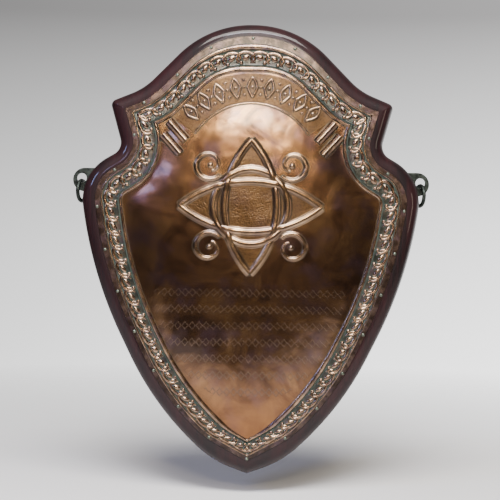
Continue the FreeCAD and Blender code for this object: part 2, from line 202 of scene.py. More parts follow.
@dataclass(frozen=True)
class PatinatedCopper:
    """Hammered copper sheet, browned by age.

    The brown oxide lies in soft clouds below a film of wax, which gives the whitish highlights.
    The crevices are darkened by painted shade, and take grey-green patina where their colour is
    green.
    """

    name: str
    deep: str = "#402c20"
    middle: str = "#664a34"
    rubbed: str = "#8c6b4a"
    tarnish: str = "#5c4852"
    # Colour laid in the crevices: painted shade, and grey-green patina where it is green
    crevice_shade_and_patina_colour: str = "#3c4840"
    roughness: float = 0.22
    wax: float = 0.7
    wax_roughness: float = 0.1
    cloud_mm: float = 42.0
    cloud_places: tuple[float, float, float] = (0.36, 0.50, 0.66)
    cloud_polish: float = 0.12
    tarnish_share: float = 0.6
    tarnish_places: tuple[float, float] = (0.50, 0.66)
    tarnish_amount: float = 0.45
    fine_noise_mm: float = 2.6
    # Reach, places, evenness and strength of the painted shade and patina in the crevices, and how
    # they dull the metal
    crevice_shade_and_patina_reach_mm: float = 2.4
    crevice_shade_and_patina_places: tuple[float, float] = (0.16, 0.46)
    crevice_shade_and_patina_evenness: float = 0.55
    crevice_shade_and_patina_amount: float = 0.85
    crevice_roughness: float = 0.3
    crevice_cover: float = 0.75
    grain: float = 0.25
    dent_mm: float = 9.0
    dent_depth: float = 0.48
    stipple_mm: float = 0.0
    stipple_depth: float = 1.0
    relief_mm: float = 0.25

    def build(self) -> Material:
        """Build the material and return it."""
        material, tree = fresh_material(self.name)
        place = add_node(tree, "TexCoord").outputs["Object"]
        clouds = add_node(tree, "TexNoise", Vector=place, Scale=per_size(self.cloud_mm),
                          Detail=6.0, Roughness=0.62, Distortion=1.2)
        fine = add_node(tree, "TexNoise", Vector=place, Scale=per_size(self.fine_noise_mm),
                        Detail=4.0, Roughness=0.6)
        rough = add_node(tree, "Math", clouds, -self.cloud_polish,
                         self.roughness + self.cloud_polish / 2, operation="MULTIPLY_ADD")
        skin = Skin(tree, place, clouds, self.patina(tree, place, clouds),
                    self.hammering(tree, place, fine), rough, self.wax)
        crevice_shade_and_patina = self.crevice_shade_and_patina(skin, fine)
        self.work(skin)
        bump = add_node(tree, "Bump", Strength=0.5, Distance=self.relief_mm * MM,
                        Height=skin.height)
        rough = add_node(tree, "Math", crevice_shade_and_patina, self.crevice_roughness, skin.rough,
                         operation="MULTIPLY_ADD")
        metal = add_node(tree, "Math", crevice_shade_and_patina, -self.crevice_cover, 1.0, operation="MULTIPLY_ADD")
        shader = add_node(tree, "BsdfPrincipled", Base_Color=skin.colour, Metallic=metal,
                          Roughness=rough, Normal=bump, Coat_Weight=skin.wax,
                          Coat_Roughness=self.wax_roughness, Coat_Normal=bump)
        add_node(tree, "OutputMaterial", Surface=shader)
        return material

    def patina(self, tree: NodeTree, place: NodeSocket, clouds: Node) -> NodeSocket:
        """Colour of clean metal: clouds of brown oxide with patches of purplish tarnish.

        Args:
            tree: Node tree that gets the layer.
            place: Object coordinates.
            clouds: Noise of the clouds.

        Returns:
            The colour.
        """
        browns = [srgb(code) for code in (self.deep, self.middle, self.rubbed)]
        brown = add_node(tree, "ValToRGB", clouds, stops=zip(self.cloud_places, browns))
        patches = add_node(tree, "TexNoise", Vector=place, Detail=3.0, Roughness=0.5,
                           Scale=per_size(self.cloud_mm * self.tarnish_share))
        stain = add_node(tree, "ValToRGB", patches,
                         stops=zip(self.tarnish_places, (0.0, self.tarnish_amount)))
        return add_node(tree, "Mix", stain, data_type="RGBA", A_Color=brown,
                        B_Color=srgb(self.tarnish)).outputs[MIXED_COLOUR]

    def hammering(self, tree: NodeTree, place: NodeSocket, fine: Node) -> Node:
        """Small rise and fall of the surface: its grain, hammer dents and any stippling.

        Args:
            tree: Node tree that gets the layer.
            place: Object coordinates.
            fine: Noise of the grain.

        Returns:
            The height, in shares of relief_mm.
        """
        grain = add_node(tree, "Math", fine, self.grain, operation="MULTIPLY")
        dents = add_node(tree, "TexVoronoi", Vector=place, feature="SMOOTH_F1",
                         Scale=per_size(self.dent_mm), Smoothness=0.8)
        height = add_node(tree, "Math", dents, self.dent_depth, grain, operation="MULTIPLY_ADD")
        if self.stipple_mm:
            dots = add_node(tree, "TexVoronoi", Vector=place, feature="F1",
                            Scale=per_size(self.stipple_mm))
            height = add_node(tree, "Math", dots, self.stipple_depth, height,
                              operation="MULTIPLY_ADD")
        return height

    def crevice_shade_and_patina(self, skin: Skin, fine: Node) -> Node:
        """Paint shade and patina into the crevices.

        Args:
            skin: Layers so far; its colour changes.
            fine: Noise that breaks the shade and patina up.

        Returns:
            How much painted shade and patina lies there.
        """
        # Painted shade: wherever ambient occlusion finds a crevice, the crevice colour is laid
        # over the metal
        open_share = add_node(skin.tree, "AmbientOcclusion", samples=8,
                              Distance=self.crevice_shade_and_patina_reach_mm * MM).outputs["AO"]
        crevice = add_node(skin.tree, "Math", 1.0, open_share, operation="SUBTRACT",
                           use_clamp=True)
        broken = add_node(skin.tree, "Math", fine, self.crevice_shade_and_patina_evenness, operation="ADD")
        crevice = add_node(skin.tree, "Math", crevice, broken, operation="MULTIPLY")
        crevice_shade_and_patina = add_node(skin.tree, "ValToRGB", crevice,
                         stops=zip(self.crevice_shade_and_patina_places, (0.0, self.crevice_shade_and_patina_amount)))
        self.lay(skin, crevice_shade_and_patina, srgb(self.crevice_shade_and_patina_colour))
        return crevice_shade_and_patina

    def work(self, skin: Skin) -> None:
        """Add what tools left on the metal; plain sheet has nothing more."""

    @staticmethod
    def lay(skin: Skin, amount: Any, colour: Any) -> None:
        """Cover the skin with a colour by some amount."""
        mixed = add_node(skin.tree, "Mix", amount, data_type="RGBA", A_Color=skin.colour,
                         B_Color=colour)
        skin.colour = mixed.outputs[MIXED_COLOUR]


@dataclass(frozen=True)
class EngravedRows:
    """Faint rows of small engraved lozenges across the lower field."""

    first_z_mm: float = -44.0
    pitch_mm: float = 16.2
    height_mm: float = 9.0
    lozenge_mm: float = 7.0
    size_share: float = 0.85
    line_share: float = 0.16
    reach_x_mm: float = 95.0
    reach_z_mm: float = 122.0
    middle_z_mm: float = -30.0

    def lines(self, tree: NodeTree, place: NodeSocket) -> Node:
        """Pattern of the rows.

        Args:
            tree: Node tree that gets the pattern.
            place: Object coordinates.

        Returns:
            1 on an engraved line and 0 elsewhere.
        """
        across, _, up = add_node(tree, "SeparateXYZ", place).outputs
        tall = self.off_middle(tree, up, self.first_z_mm, self.pitch_mm)
        tall = add_node(tree, "Math", tall, 2 * self.pitch_mm / self.height_mm,
                        operation="MULTIPLY")
        wide = self.off_middle(tree, across, 0.0, self.lozenge_mm)
        size = add_node(tree, "Math", wide, 2.0, tall, operation="MULTIPLY_ADD")
        rim = add_node(tree, "Math", size, self.size_share, operation="SUBTRACT")
        rim = add_node(tree, "Math", rim, operation="ABSOLUTE")
        line = add_node(tree, "Math", rim, self.line_share, operation="LESS_THAN")
        below = add_node(tree, "Math", up, (self.first_z_mm + self.height_mm / 2) * MM,
                         operation="LESS_THAN")
        shown = add_node(tree, "Math", self.inside(tree, across, up), below,
                         operation="MULTIPLY")
        return add_node(tree, "Math", line, shown, operation="MULTIPLY")

    @staticmethod
    def off_middle(tree: NodeTree, place: NodeSocket, first_mm: float, pitch_mm: float) -> Node:
        """Distance to the nearest middle of a row of repeats, in shares of their pitch.

        Args:
            tree: Node tree that gets the nodes.
            place: Coordinate along the row.
            first_mm: Where one of the middles is.
            pitch_mm: Distance between middles.

        Returns:
            The distance.
        """
        steps = add_node(tree, "Math", place, first_mm * MM, operation="SUBTRACT")
        steps = add_node(tree, "Math", steps, pitch_mm * MM, operation="DIVIDE")
        nearest = add_node(tree, "Math", steps, operation="ROUND")
        off = add_node(tree, "Math", steps, nearest, operation="SUBTRACT")
        return add_node(tree, "Math", off, operation="ABSOLUTE")

    def inside(self, tree: NodeTree, across: NodeSocket, up: NodeSocket) -> Node:
        """1 inside the oval part of the field that is engraved, and 0 outside.

        Args:
            tree: Node tree that gets the nodes.
            across: Distance from the middle plane.
            up: Height.

        Returns:
            The mask.
        """
        x = add_node(tree, "Math", across, self.reach_x_mm * MM, operation="DIVIDE")
        z = add_node(tree, "Math", up, self.middle_z_mm * MM, operation="SUBTRACT")
        z = add_node(tree, "Math", z, self.reach_z_mm * MM, operation="DIVIDE")
        high = add_node(tree, "Math", z, z, operation="MULTIPLY")
        away = add_node(tree, "Math", x, x, high, operation="MULTIPLY_ADD")
        return add_node(tree, "Math", away, 1.0, operation="LESS_THAN")


@dataclass(frozen=True)
class MattedGrounds:
    """Punched, matted grounds of the field: inside the knot's ring and loops and the riband."""

    knot: "StrapKnot"
    riband: "Riband"
    riband_margin_mm: float = 0.5
    edge_mm: float = 1.0

    def mask(self, tree: NodeTree, place: NodeSocket) -> Node:
        """Where the ground is matted.

        Args:
            tree: Node tree that gets the mask.
            place: Object coordinates.

        Returns:
            1 on matted ground and 0 on plain copper.
        """
        across, _, up = add_node(tree, "SeparateXYZ", place).outputs
        flat = add_node(tree, "CombineXYZ", X=across, Z=up)
        found = self.within(tree, flat, (0.0, self.knot.middle), self.knot.ring_radius)
        for circles in self.knot.loop_circles():
            sides = [self.within(tree, flat, centre, radius) for centre, radius in circles]
            loop = add_node(tree, "Math", *sides, operation="MINIMUM")
            found = add_node(tree, "Math", found, loop, operation="MAXIMUM")
        band = self.riband_ground(tree, flat, across, up)
        return add_node(tree, "Math", found, band, operation="MAXIMUM")

    def riband_ground(self, tree: NodeTree, flat: Node,
                      across: NodeSocket, up: NodeSocket) -> Node:
        """1 on the riband between its two edges and its ends, and 0 elsewhere.

        Args:
            tree: Node tree that gets the mask.
            flat: Place on the shield's face.
            across: Its distance from the middle plane.
            up: Its height.

        Returns:
            The mask.
        """
        riband = self.riband
        centre = (0.0, riband.centre.y)
        hole = self.within(tree, flat, centre,
                           riband.radius - riband.width + self.riband_margin_mm)
        band = self.within(tree, flat, centre, riband.radius - self.riband_margin_mm)
        band = add_node(tree, "Math", band, hole, operation="SUBTRACT")
        rise = add_node(tree, "Math", up, riband.centre.y * MM, operation="SUBTRACT")
        reach = add_node(tree, "Math", rise, math.tan(math.radians(riband.half_angle)),
                         operation="MULTIPLY")
        wide = add_node(tree, "Math", across, operation="ABSOLUTE")
        high = add_node(tree, "Math", wide, reach, operation="LESS_THAN")
        return add_node(tree, "Math", band, high, operation="MULTIPLY")

    def within(self, tree: NodeTree, flat: Node,
               centre: tuple[float, float], radius: float) -> Node:
        """1 inside a circle given in millimetres and 0 outside, with a soft edge.

        Args:
            tree: Node tree that gets the nodes.
            flat: Place on the shield's face.
            centre: Its centre, across and up.
            radius: Its radius.

        Returns:
            The mask.
        """
        x, z = centre
        away = add_node(tree, "VectorMath", flat, (x * MM, 0.0, z * MM),
                        operation="DISTANCE").outputs["Value"]
        inside = add_node(tree, "Math", radius * MM, away, operation="SUBTRACT")
        return add_node(tree, "Math", inside, self.edge_mm * MM, operation="DIVIDE",
                        use_clamp=True)


@dataclass(frozen=True)
class ChasedCopper(PatinatedCopper):
    """Copper of the field: paler and more orange low down, engraved, and matted with a punch.

    Towards the tip the field is painted a paler orange, a painted reflection of the bright floor.
    Engraved lines are pale where the ground is dark and dark where it is bright. Matting breaks
    the shine up into dark dots.
    """

    grounds: MattedGrounds = field(kw_only=True)
    rows: EngravedRows = EngravedRows()
    # Painted reflection of the bright floor: paler orange copper towards the tip
    floor_reflection_colour: str = "#8c5826"
    floor_reflection_top_z_mm: float = -104.0
    floor_reflection_reach_mm: float = 90.0
    floor_reflection_evenness: float = 0.3
    cut: str = "#75604f"
    cut_in_floor_reflection: str = "#33241a"
    cut_cover: float = 0.7
    cut_depth: float = 1.6
    matted: str = "#1f1812"
    matted_high: str = "#4f3c26"
    matted_cover: float = 0.8
    matted_roughness: float = 0.12
    matted_wax_loss: float = 0.75
    punch_mm: float = 1.6
    punch_depth: float = 1.3
    punch_places: tuple[float, float] = (0.10, 0.55)
    ripple_mm: float = 20.1
    ripple_depth: float = 0.5

    def work(self, skin: Skin) -> None:
        """Paint the floor's reflection on the lower field, engrave the rows and mat the grounds.
        """
        self.engrave(skin, self.painted_floor_reflection(skin))
        self.mat(skin)

    def painted_floor_reflection(self, skin: Skin) -> Node:
        """Paint the field paler and more orange towards the tip, as the floor's reflection, and
        return how much of it lies there.

        Args:
            skin: Layers so far; its colour changes.

        Returns:
            How much painted floor reflection lies there.
        """
        tree = skin.tree
        up = add_node(tree, "SeparateXYZ", skin.place).outputs["Z"]
        low = add_node(tree, "Math", self.floor_reflection_top_z_mm * MM, up, operation="SUBTRACT")
        low = add_node(tree, "Math", low, self.floor_reflection_reach_mm * MM, operation="DIVIDE",
                       use_clamp=True)
        patches = add_node(tree, "Math", skin.clouds, self.floor_reflection_evenness, operation="ADD")
        low = add_node(tree, "Math", low, patches, operation="MULTIPLY")
        # Lay the painted floor reflection over the lower field
        self.lay(skin, low, srgb(self.floor_reflection_colour))
        return low

    def engrave(self, skin: Skin, low: Node) -> None:
        """Cut the engraved rows.

        Args:
            skin: Layers so far.
            low: How much painted floor reflection lies there.
        """
        tree = skin.tree
        lines = self.rows.lines(tree, skin.place)
        skin.height = add_node(tree, "Math", lines, -self.cut_depth, skin.height,
                               operation="MULTIPLY_ADD")
        cover = add_node(tree, "Math", lines, self.cut_cover, operation="MULTIPLY")
        cut = add_node(tree, "Mix", low, data_type="RGBA", A_Color=srgb(self.cut),
                       B_Color=srgb(self.cut_in_floor_reflection)).outputs[MIXED_COLOUR]
        self.lay(skin, cover, cut)

    def mat(self, skin: Skin) -> None:
        """Punch the grounds matt: dark dots on a slightly rippled, duller metal.

        Args:
            skin: Layers so far.
        """
        tree = skin.tree
        matted = self.grounds.mask(tree, skin.place)
        dots = add_node(tree, "TexVoronoi", Vector=skin.place, feature="F1",
                        Scale=per_size(self.punch_mm))
        shades = (srgb(self.matted), srgb(self.matted_high))
        worn = add_node(tree, "ValToRGB", dots, stops=zip(self.punch_places, shades))
        ripple = add_node(tree, "TexWave", Vector=skin.place, bands_direction="Z",
                          Scale=per_size(self.ripple_mm) / WAVES_PER_UNIT, Distortion=5.0,
                          Detail=1.0, Detail_Scale=2.5).outputs["Fac"]
        for pattern, depth in ((dots, self.punch_depth), (ripple, self.ripple_depth)):
            here = add_node(tree, "Math", pattern, matted, operation="MULTIPLY")
            skin.height = add_node(tree, "Math", here, depth, skin.height,
                                   operation="MULTIPLY_ADD")
        cover = add_node(tree, "Math", matted, self.matted_cover, operation="MULTIPLY")
        self.lay(skin, cover, worn)
        skin.rough = add_node(tree, "Math", matted, self.matted_roughness, skin.rough,
                              operation="MULTIPLY_ADD")
        skin.wax = add_node(tree, "Math", matted, -self.matted_wax_loss * self.wax, self.wax,
                            operation="MULTIPLY_ADD")


@dataclass(frozen=True)
class FrenchPolishedMahogany:
    """Dark mahogany under French polish: deep red-brown figure below a clear glossy skin."""

    name: str = "french_polished_mahogany"
    dark: str = "#11080a"
    red: str = "#270f12"
    figure_places: tuple[float, float] = (0.36, 0.62)
    grain_mm: float = 2.2
    grain_length_mm: float = 60.0
    broad_grain_mm: float = 19.8
    pore_mm: float = 0.7
    pore_places: tuple[float, float] = (0.30, 0.42)
    pore_depth_mm: float = 0.08

    def build(self) -> Material:
        """Build the material and return it."""
        material, tree = fresh_material(self.name)
        place = add_node(tree, "TexCoord").outputs["Object"]
        stretch = self.grain_mm / self.grain_length_mm
        along = add_node(tree, "Mapping", Vector=place, Scale=(1.0, 1.0, stretch))
        figure = add_node(tree, "TexNoise", Vector=along, Scale=per_size(self.grain_mm),
                          Detail=5.0, Roughness=0.6, Distortion=0.4)
        broad = add_node(tree, "TexNoise", Vector=along, Scale=per_size(self.broad_grain_mm),
                         Detail=2.0)
        half = add_node(tree, "Math", figure, 0.5, operation="MULTIPLY")
        figure = add_node(tree, "Math", broad, 0.5, half, operation="MULTIPLY_ADD")
        colours = (srgb(self.dark), srgb(self.red))
        colour = add_node(tree, "ValToRGB", figure, stops=zip(self.figure_places, colours))
        pores = add_node(tree, "TexNoise", Vector=along, Scale=per_size(self.pore_mm),
                         Detail=2.0)
        closed = add_node(tree, "ValToRGB", pores, stops=zip(self.pore_places, (0.0, 1.0)))
        bump = add_node(tree, "Bump", Strength=0.12, Distance=self.pore_depth_mm * MM,
                        Height=closed)
        shader = add_node(tree, "BsdfPrincipled", Base_Color=colour, Roughness=0.6,
                          Specular_IOR_Level=0.15, IOR=1.5, Coat_Weight=0.36,
                          Coat_Roughness=0.08, Coat_IOR=1.52, Normal=bump)
        add_node(tree, "OutputMaterial", Surface=shader)
        return material


@dataclass(frozen=True)
class DulledMetal:
    """Plain metal with an uneven dull skin, such as wrought iron or an old pin."""

    name: str
    base: str
    patch: str
    roughness: float = 0.5
    roughness_spread: float = 0.3
    patch_mm: float = 4.0
    patch_places: tuple[float, float] = (0.38, 0.68)
    depth_mm: float = 0.12

    def build(self) -> Material:
        """Build the material and return it."""
        material, tree = fresh_material(self.name)
        place = add_node(tree, "TexCoord").outputs["Object"]
        skin = add_node(tree, "TexNoise", Vector=place, Scale=per_size(self.patch_mm),
                        Detail=5.0, Roughness=0.6)
        colours = (srgb(self.base), srgb(self.patch))
        colour = add_node(tree, "ValToRGB", skin, stops=zip(self.patch_places, colours))
        rough = add_node(tree, "Math", skin, self.roughness_spread,
                         self.roughness - self.roughness_spread / 2, operation="MULTIPLY_ADD")
        bump = add_node(tree, "Bump", Strength=0.5, Distance=self.depth_mm * MM, Height=skin)
        shader = add_node(tree, "BsdfPrincipled", Base_Color=colour, Metallic=0.9,
                          Roughness=rough, Normal=bump)
        add_node(tree, "OutputMaterial", Surface=shader)
        return material


@dataclass
class Workshop:
    """Finishes of the whole object, built once and shared by the pieces."""

    grounds: MattedGrounds
    field_copper: Material = field(init=False)
    ground_copper: Material = field(init=False)
    flange_copper: Material = field(init=False)
    relief_copper: Material = field(init=False)
    moulded_copper: Material = field(init=False)
    border_copper: Material = field(init=False)
    mahogany: Material = field(init=False)
    iron: Material = field(init=False)
    pin_metal: Material = field(init=False)
    screw_steel: Material = field(init=False)

    def __post_init__(self) -> None:
        """Build every finish."""
        self.build_coppers()
        # Polished wood gives one soft glint along the board's rounded edge and is dark elsewhere
        self.mahogany = FrenchPolishedMahogany().build()
        # Hammer scale leaves the iron nearly black with a faint green-grey bloom
        self.iron = DulledMetal("blackened_wrought_iron", "#1c201e", "#3d4440").build()
        # Worn nickel makes the pin heads small pale grey dots
        self.pin_metal = DulledMetal("dulled_nickelled_brass", "#4c5248", "#80887a",
                                     roughness=0.35, patch_mm=1.5, depth_mm=0.04).build()
        # Old steel is a plain middle grey
        self.screw_steel = DulledMetal("dulled_screw_steel", "#4a4846", "#7a766f",
                                       patch_mm=2.0, depth_mm=0.03).build()

    def build_coppers(self) -> None:
        """Build the coppers, which differ by how each part of the sheet has aged and by the shade
        painted into their crevices.
        """
        # Planishing gives the field broad soft highlights through its wax
        self.field_copper = ChasedCopper("planished_copper_field", grounds=self.grounds,
                                         wax=0.6, grain=0.03, tarnish_amount=0.55).build()
        # The channel's ground is painted nearly black, partly as its stippled patina and partly as
        # painted shade in the recess between the scroll, so the scroll stands out
        self.ground_copper = PatinatedCopper(
            "verdigris_copper_ground", deep="#1b1c19", middle="#2e302b", rubbed="#564b3e",
            crevice_shade_and_patina_colour="#3f5049", stipple_mm=1.1, roughness=0.45, crevice_shade_and_patina_reach_mm=4.0,
            crevice_shade_and_patina_amount=0.9).build()
        # The flange has little wax left and is dull and blotchy
        self.flange_copper = PatinatedCopper(
            "browned_copper_flange", deep="#261c19", middle="#3b2e28", rubbed="#64524a",
            roughness=0.38, wax=0.4, wax_roughness=0.2, cloud_mm=12.0).build()
        # The strapwork is a paler brown; its near-black crevice colour is painted shade at the
        # feet of the straps and the frieze
        self.relief_copper = PatinatedCopper(
            "rubbed_copper_strapwork", deep="#5a4532", middle="#7f654b", rubbed="#af9272",
            crevice_shade_and_patina_colour="#2c2a22", roughness=0.25, dent_mm=6.0, tarnish_amount=0.3,
            crevice_shade_and_patina_reach_mm=4.5).build()
        # Thick wax gives the beads and rolls a bright line along each crest
        # Their near-black crevice colour is painted shade between the rolls and along the beads'
        # feet
        self.moulded_copper = PatinatedCopper(
            "browned_copper_mouldings", deep="#4a382a", middle="#735a43", rubbed="#a58669",
            crevice_shade_and_patina_colour="#1e1b16", roughness=0.26, wax=0.9, dent_mm=6.0, tarnish_amount=0.6,
            cloud_mm=14.0, crevice_shade_and_patina_reach_mm=5.0).build()
        # The scroll is the palest work; every corner is darkened grey-green, as patina and painted
        # shade
        self.border_copper = PatinatedCopper(
            "rubbed_copper_border", deep="#503b2b", middle="#7c6149", rubbed="#b6997d",
            crevice_shade_and_patina_colour="#48554d", roughness=0.24, dent_mm=3.0, cloud_mm=7.0, wax=0.85,
            crevice_shade_and_patina_amount=1.0).build()


def link_to_scene(name: str, data: Any) -> Object:
    """New object in the scene that shows a mesh, curve, light or camera."""
    made = bpy.data.objects.new(name, data)
    bpy.context.scene.collection.objects.link(made)
    return made


def mesh_from(bm: BMesh, name: str) -> Mesh:
    """Stand a bench mesh upright, in metres, with its faces outwards.

    Args:
        bm: Mesh in bench millimetres; it is freed.
        name: Name of the mesh.

    Returns:
        The mesh.
    """
    bmesh.ops.transform(bm, matrix=UPRIGHT, verts=bm.verts)
    bmesh.ops.recalc_face_normals(bm, faces=bm.faces)
    mesh = bpy.data.meshes.new(name)
    bm.to_mesh(mesh)
    bm.free()
    return mesh


def piece_from(bm: BMesh, name: str, material: Material,
               sharp_degrees: float = 50.0) -> Object:
    """Turn a bench mesh into a finished, standing piece of the shield.

    Args:
        bm: Mesh in bench millimetres; it is freed.
        name: Name of the piece.
        material: Its finish.
        sharp_degrees: Edges that turn by more stay sharp.

    Returns:
        The new object.
    """
    mesh = mesh_from(bm, name)
    mesh.polygons.foreach_set("use_smooth", [True] * len(mesh.polygons))
    mesh.set_sharp_from_angle(angle=math.radians(sharp_degrees))
    mesh.materials.append(material)
    piece = link_to_scene(name, mesh)
    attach(piece, SHIELD_BODY)
    LOG.info("%s: %d faces", name, len(mesh.polygons))
    return piece


@dataclass(frozen=True)
class Corner:
    """Corner of the board's half outline, in shares of half its width and height.

    The rounding is a share of half the width.
    """

    across_share: float
    up_share: float
    rounding_share: float


BOARD_CORNERS = (
    Corner(0.000, 1.000, 0.000),
    Corner(0.263, 1.000, 0.627),
    Corner(0.644, 0.711, 0.394),
    Corner(0.845, 0.649, 0.036),
    Corner(0.767, 0.439, 0.078),
    Corner(1.029, 0.325, 0.293),
    Corner(0.939, -0.126, 2.570),
    Corner(0.567, -0.691, 1.790),
    Corner(0.218, -0.940, 0.623),
    Corner(0.000, -1.000, 0.000),
)


@dataclass
class RoundedOutline:
    """Right half of a closed outline: straight sides with rounded corners, apex first.

    Insets keep the number of points on every side and rounding, so rings match point by point.
    """

    corners: list[Vector]
    radii: list[float]
    step: float = 1.6
    counts: list[int] = field(default_factory=list)
    straight_share: float = 0.97
    least_rounding: float = 0.6
    least_turn: float = 1e-6

    def __post_init__(self) -> None:
        """Count the points, unless their numbers are given."""
        if not self.counts:
            self.count_points()

    def count_points(self) -> None:
        """Fix the number of points on every side and rounding from their lengths."""
        lengths = [self.length_of(run) for run in self.runs()]
        self.counts = [max(1, round(length / self.step)) for length in lengths]

    def turn_at(self, i: int) -> float:
        """Signed turn at a corner, in radians: positive where the outline bulges."""
        a = (self.corners[i] - self.corners[i - 1]).normalized()
        b = (self.corners[i + 1] - self.corners[i]).normalized()
        return math.atan2(b.x * a.y - b.y * a.x, a.dot(b))

    def reaches(self) -> list[float]:
        """Distance from each corner to where its rounding starts, kept within its sides."""
        reach = [0.0] * len(self.corners)
        for i in range(1, len(self.corners) - 1):
            reach[i] = self.radii[i] * math.tan(abs(self.turn_at(i)) / 2)
        for i in range(len(self.corners) - 1):
            room = (self.corners[i + 1] - self.corners[i]).length * self.straight_share
            wanted = reach[i] + reach[i + 1]
            if wanted > room:
                reach[i] *= room / wanted
                reach[i + 1] *= room / wanted
        return reach

    def runs(self) -> list[tuple[Vector, Vector, float]]:
        """Start, end and signed turn of every side and rounding in order."""
        reach = self.reaches()
        runs = []
        last = self.corners[0]
        for i in range(1, len(self.corners) - 1):
            back = (self.corners[i - 1] - self.corners[i]).normalized()
            ahead = (self.corners[i + 1] - self.corners[i]).normalized()
            start = self.corners[i] + back * reach[i]
            end = self.corners[i] + ahead * reach[i]
            runs.append((last, start, 0.0))
            runs.append((start, end, self.turn_at(i)))
            last = end
        runs.append((last, self.corners[-1], 0.0))
        return runs

    def length_of(self, run: tuple[Vector, Vector, float]) -> float:
        """Length of a side or rounding."""
        start, end, turn = run
        half_turn = abs(turn / 2)
        chord = (end - start).length
        return chord if abs(turn) < self.least_turn else chord * half_turn / math.sin(half_turn)

    def half(self) -> list[Vector]:
        """Points of the right half, from the apex to the tip."""
        points = [self.corners[0]]
        for (start, end, turn), count in zip(self.runs(), self.counts):
            chord = end - start
            shares = [k / count for k in range(1, count + 1)]
            if abs(turn) < self.least_turn:
                points += [start + chord * share for share in shares]
                continue
            radius = chord.length / 2 / math.sin(abs(turn / 2))
            inwards = Vector((chord.y, -chord.x)).normalized() * (1 if turn > 0 else -1)
            centre = start + chord / 2 + inwards * radius * math.cos(turn / 2)
            arm = start - centre
            points += [centre + Matrix.Rotation(-turn * share, 2) @ arm for share in shares]
        return points

    def ring(self) -> list[Vector]:
        """Closed ring of points: down the right side and back up the left."""
        right = self.half()
        return right + [Vector((-p.x, p.y)) for p in reversed(right[1:-1])]

    def inset(self, insets: Sequence[float]) -> "RoundedOutline":
        """The outline with every side moved inwards by its own inset.

        Args:
            insets: One inset for every side, apex side first.

        Returns:
            The moved outline, with as many points.
        """
        starts, alongs = [], []
        for start, end, inset in zip(self.corners, self.corners[1:], insets):
            along = (end - start).normalized()
            starts.append(start + Vector((along.y, -along.x)) * inset)
            alongs.append(along)
        middle, axis = Vector((0, 0)), Vector((0, 1))
        moved = [self.crossing(starts[0], alongs[0], middle, axis)]
        for i in range(len(starts) - 1):
            moved.append(self.crossing(starts[i], alongs[i], starts[i + 1], alongs[i + 1]))
        moved.append(self.crossing(starts[-1], alongs[-1], middle, axis))
        radii = [0.0]
        for i in range(1, len(self.corners) - 1):
            inset = (insets[i - 1] + insets[i]) / 2
            way = 1 if self.turn_at(i) > 0 else -1
            radii.append(max(self.radii[i] - way * inset, self.least_rounding))
        return RoundedOutline(moved, radii + [0.0], self.step, self.counts)

    def evenly_inset(self, inset: float) -> "RoundedOutline":
        """The outline with all its sides moved inwards alike."""
        return self.inset([inset] * (len(self.corners) - 1))

    @staticmethod
    def crossing(p: Vector, p_along: Vector, q: Vector, q_along: Vector) -> Vector:
        """Point where two lines meet."""
        cross = p_along.x * q_along.y - p_along.y * q_along.x
        gap = q - p
        return p + p_along * ((gap.x * q_along.y - gap.y * q_along.x) / cross)


@dataclass
class Course:
    """Line through points, measured from its start."""

    points: list[Vector]
    lengths: list[float] = field(init=False)

    def __post_init__(self) -> None:
        """Measure the distance to every point."""
        self.lengths = [0.0]
        for a, b in zip(self.points, self.points[1:]):
            self.lengths.append(self.lengths[-1] + (b - a).length)

    @property
    def length(self) -> float:
        """Length of the whole line."""
        return self.lengths[-1]

    def locate(self, along: float) -> tuple[int, float]:
        """Find the run that holds a place.

        Args:
            along: Distance of the place from the start.

        Returns:
            Number of the point that ends the run, and the share of the run up to the place.
        """
        i = min(max(1, bisect.bisect_right(self.lengths, along)), len(self.lengths) - 1)
        return i, (along - self.lengths[i - 1]) / (self.lengths[i] - self.lengths[i - 1])

    def at(self, along: float) -> Vector:
        """Place at a distance from the start."""
        i, part = self.locate(along)
        return self.points[i - 1].lerp(self.points[i], part)


def loft(rings: Sequence[Sequence[Vector]], pole: Optional[Vector] = None) -> BMesh:
    """Skin through rings of equally many points, each extruded from the one before.

    Args:
        rings: Rings of 3-D points; the first one gets a flat face.
        pole: Point that closes the last ring; without one it gets a flat face too.

    Returns:
        The mesh.
    """
    bm = bmesh.new()
    verts = [bm.verts.new(p) for p in rings[0]]
    edges = [bm.edges.new(pair) for pair in zip(verts, verts[1:] + verts[:1])]
    bmesh.ops.contextual_create(bm, geom=edges)
    following = list(rings[1:]) + ([[pole] * len(verts)] if pole is not None else [])
    for ring in following:
        made = bmesh.ops.extrude_edge_only(bm, edges=edges)["geom"]
        new = {v for v in made if isinstance(v, BMVert)}
        partners = []
        for vert, place in zip(verts, ring):
            partner = next(e.other_vert(vert) for e in vert.link_edges
                           if e.other_vert(vert) in new)
            partner.co = place
            partners.append(partner)
        verts = partners
        edges = [bm.edges.get(pair) for pair in zip(verts, verts[1:] + verts[:1])]
    if pole is None:
        bmesh.ops.contextual_create(bm, geom=edges)
    else:
        bmesh.ops.pointmerge(bm, verts=verts, merge_co=pole)
    return bm


def raised(points: Iterable[Vector], height: float) -> list[Vector]:
    """The points of a flat ring at a height above the bench."""
    return [Vector((p.x, p.y, height)) for p in points]


@dataclass(frozen=True)
class Strap:
    """Middle line of a strap, its width factor at every point and whether its ends meet."""

    points: Sequence[Vector]
    widths: Sequence[float] = ()
    closed: bool = False


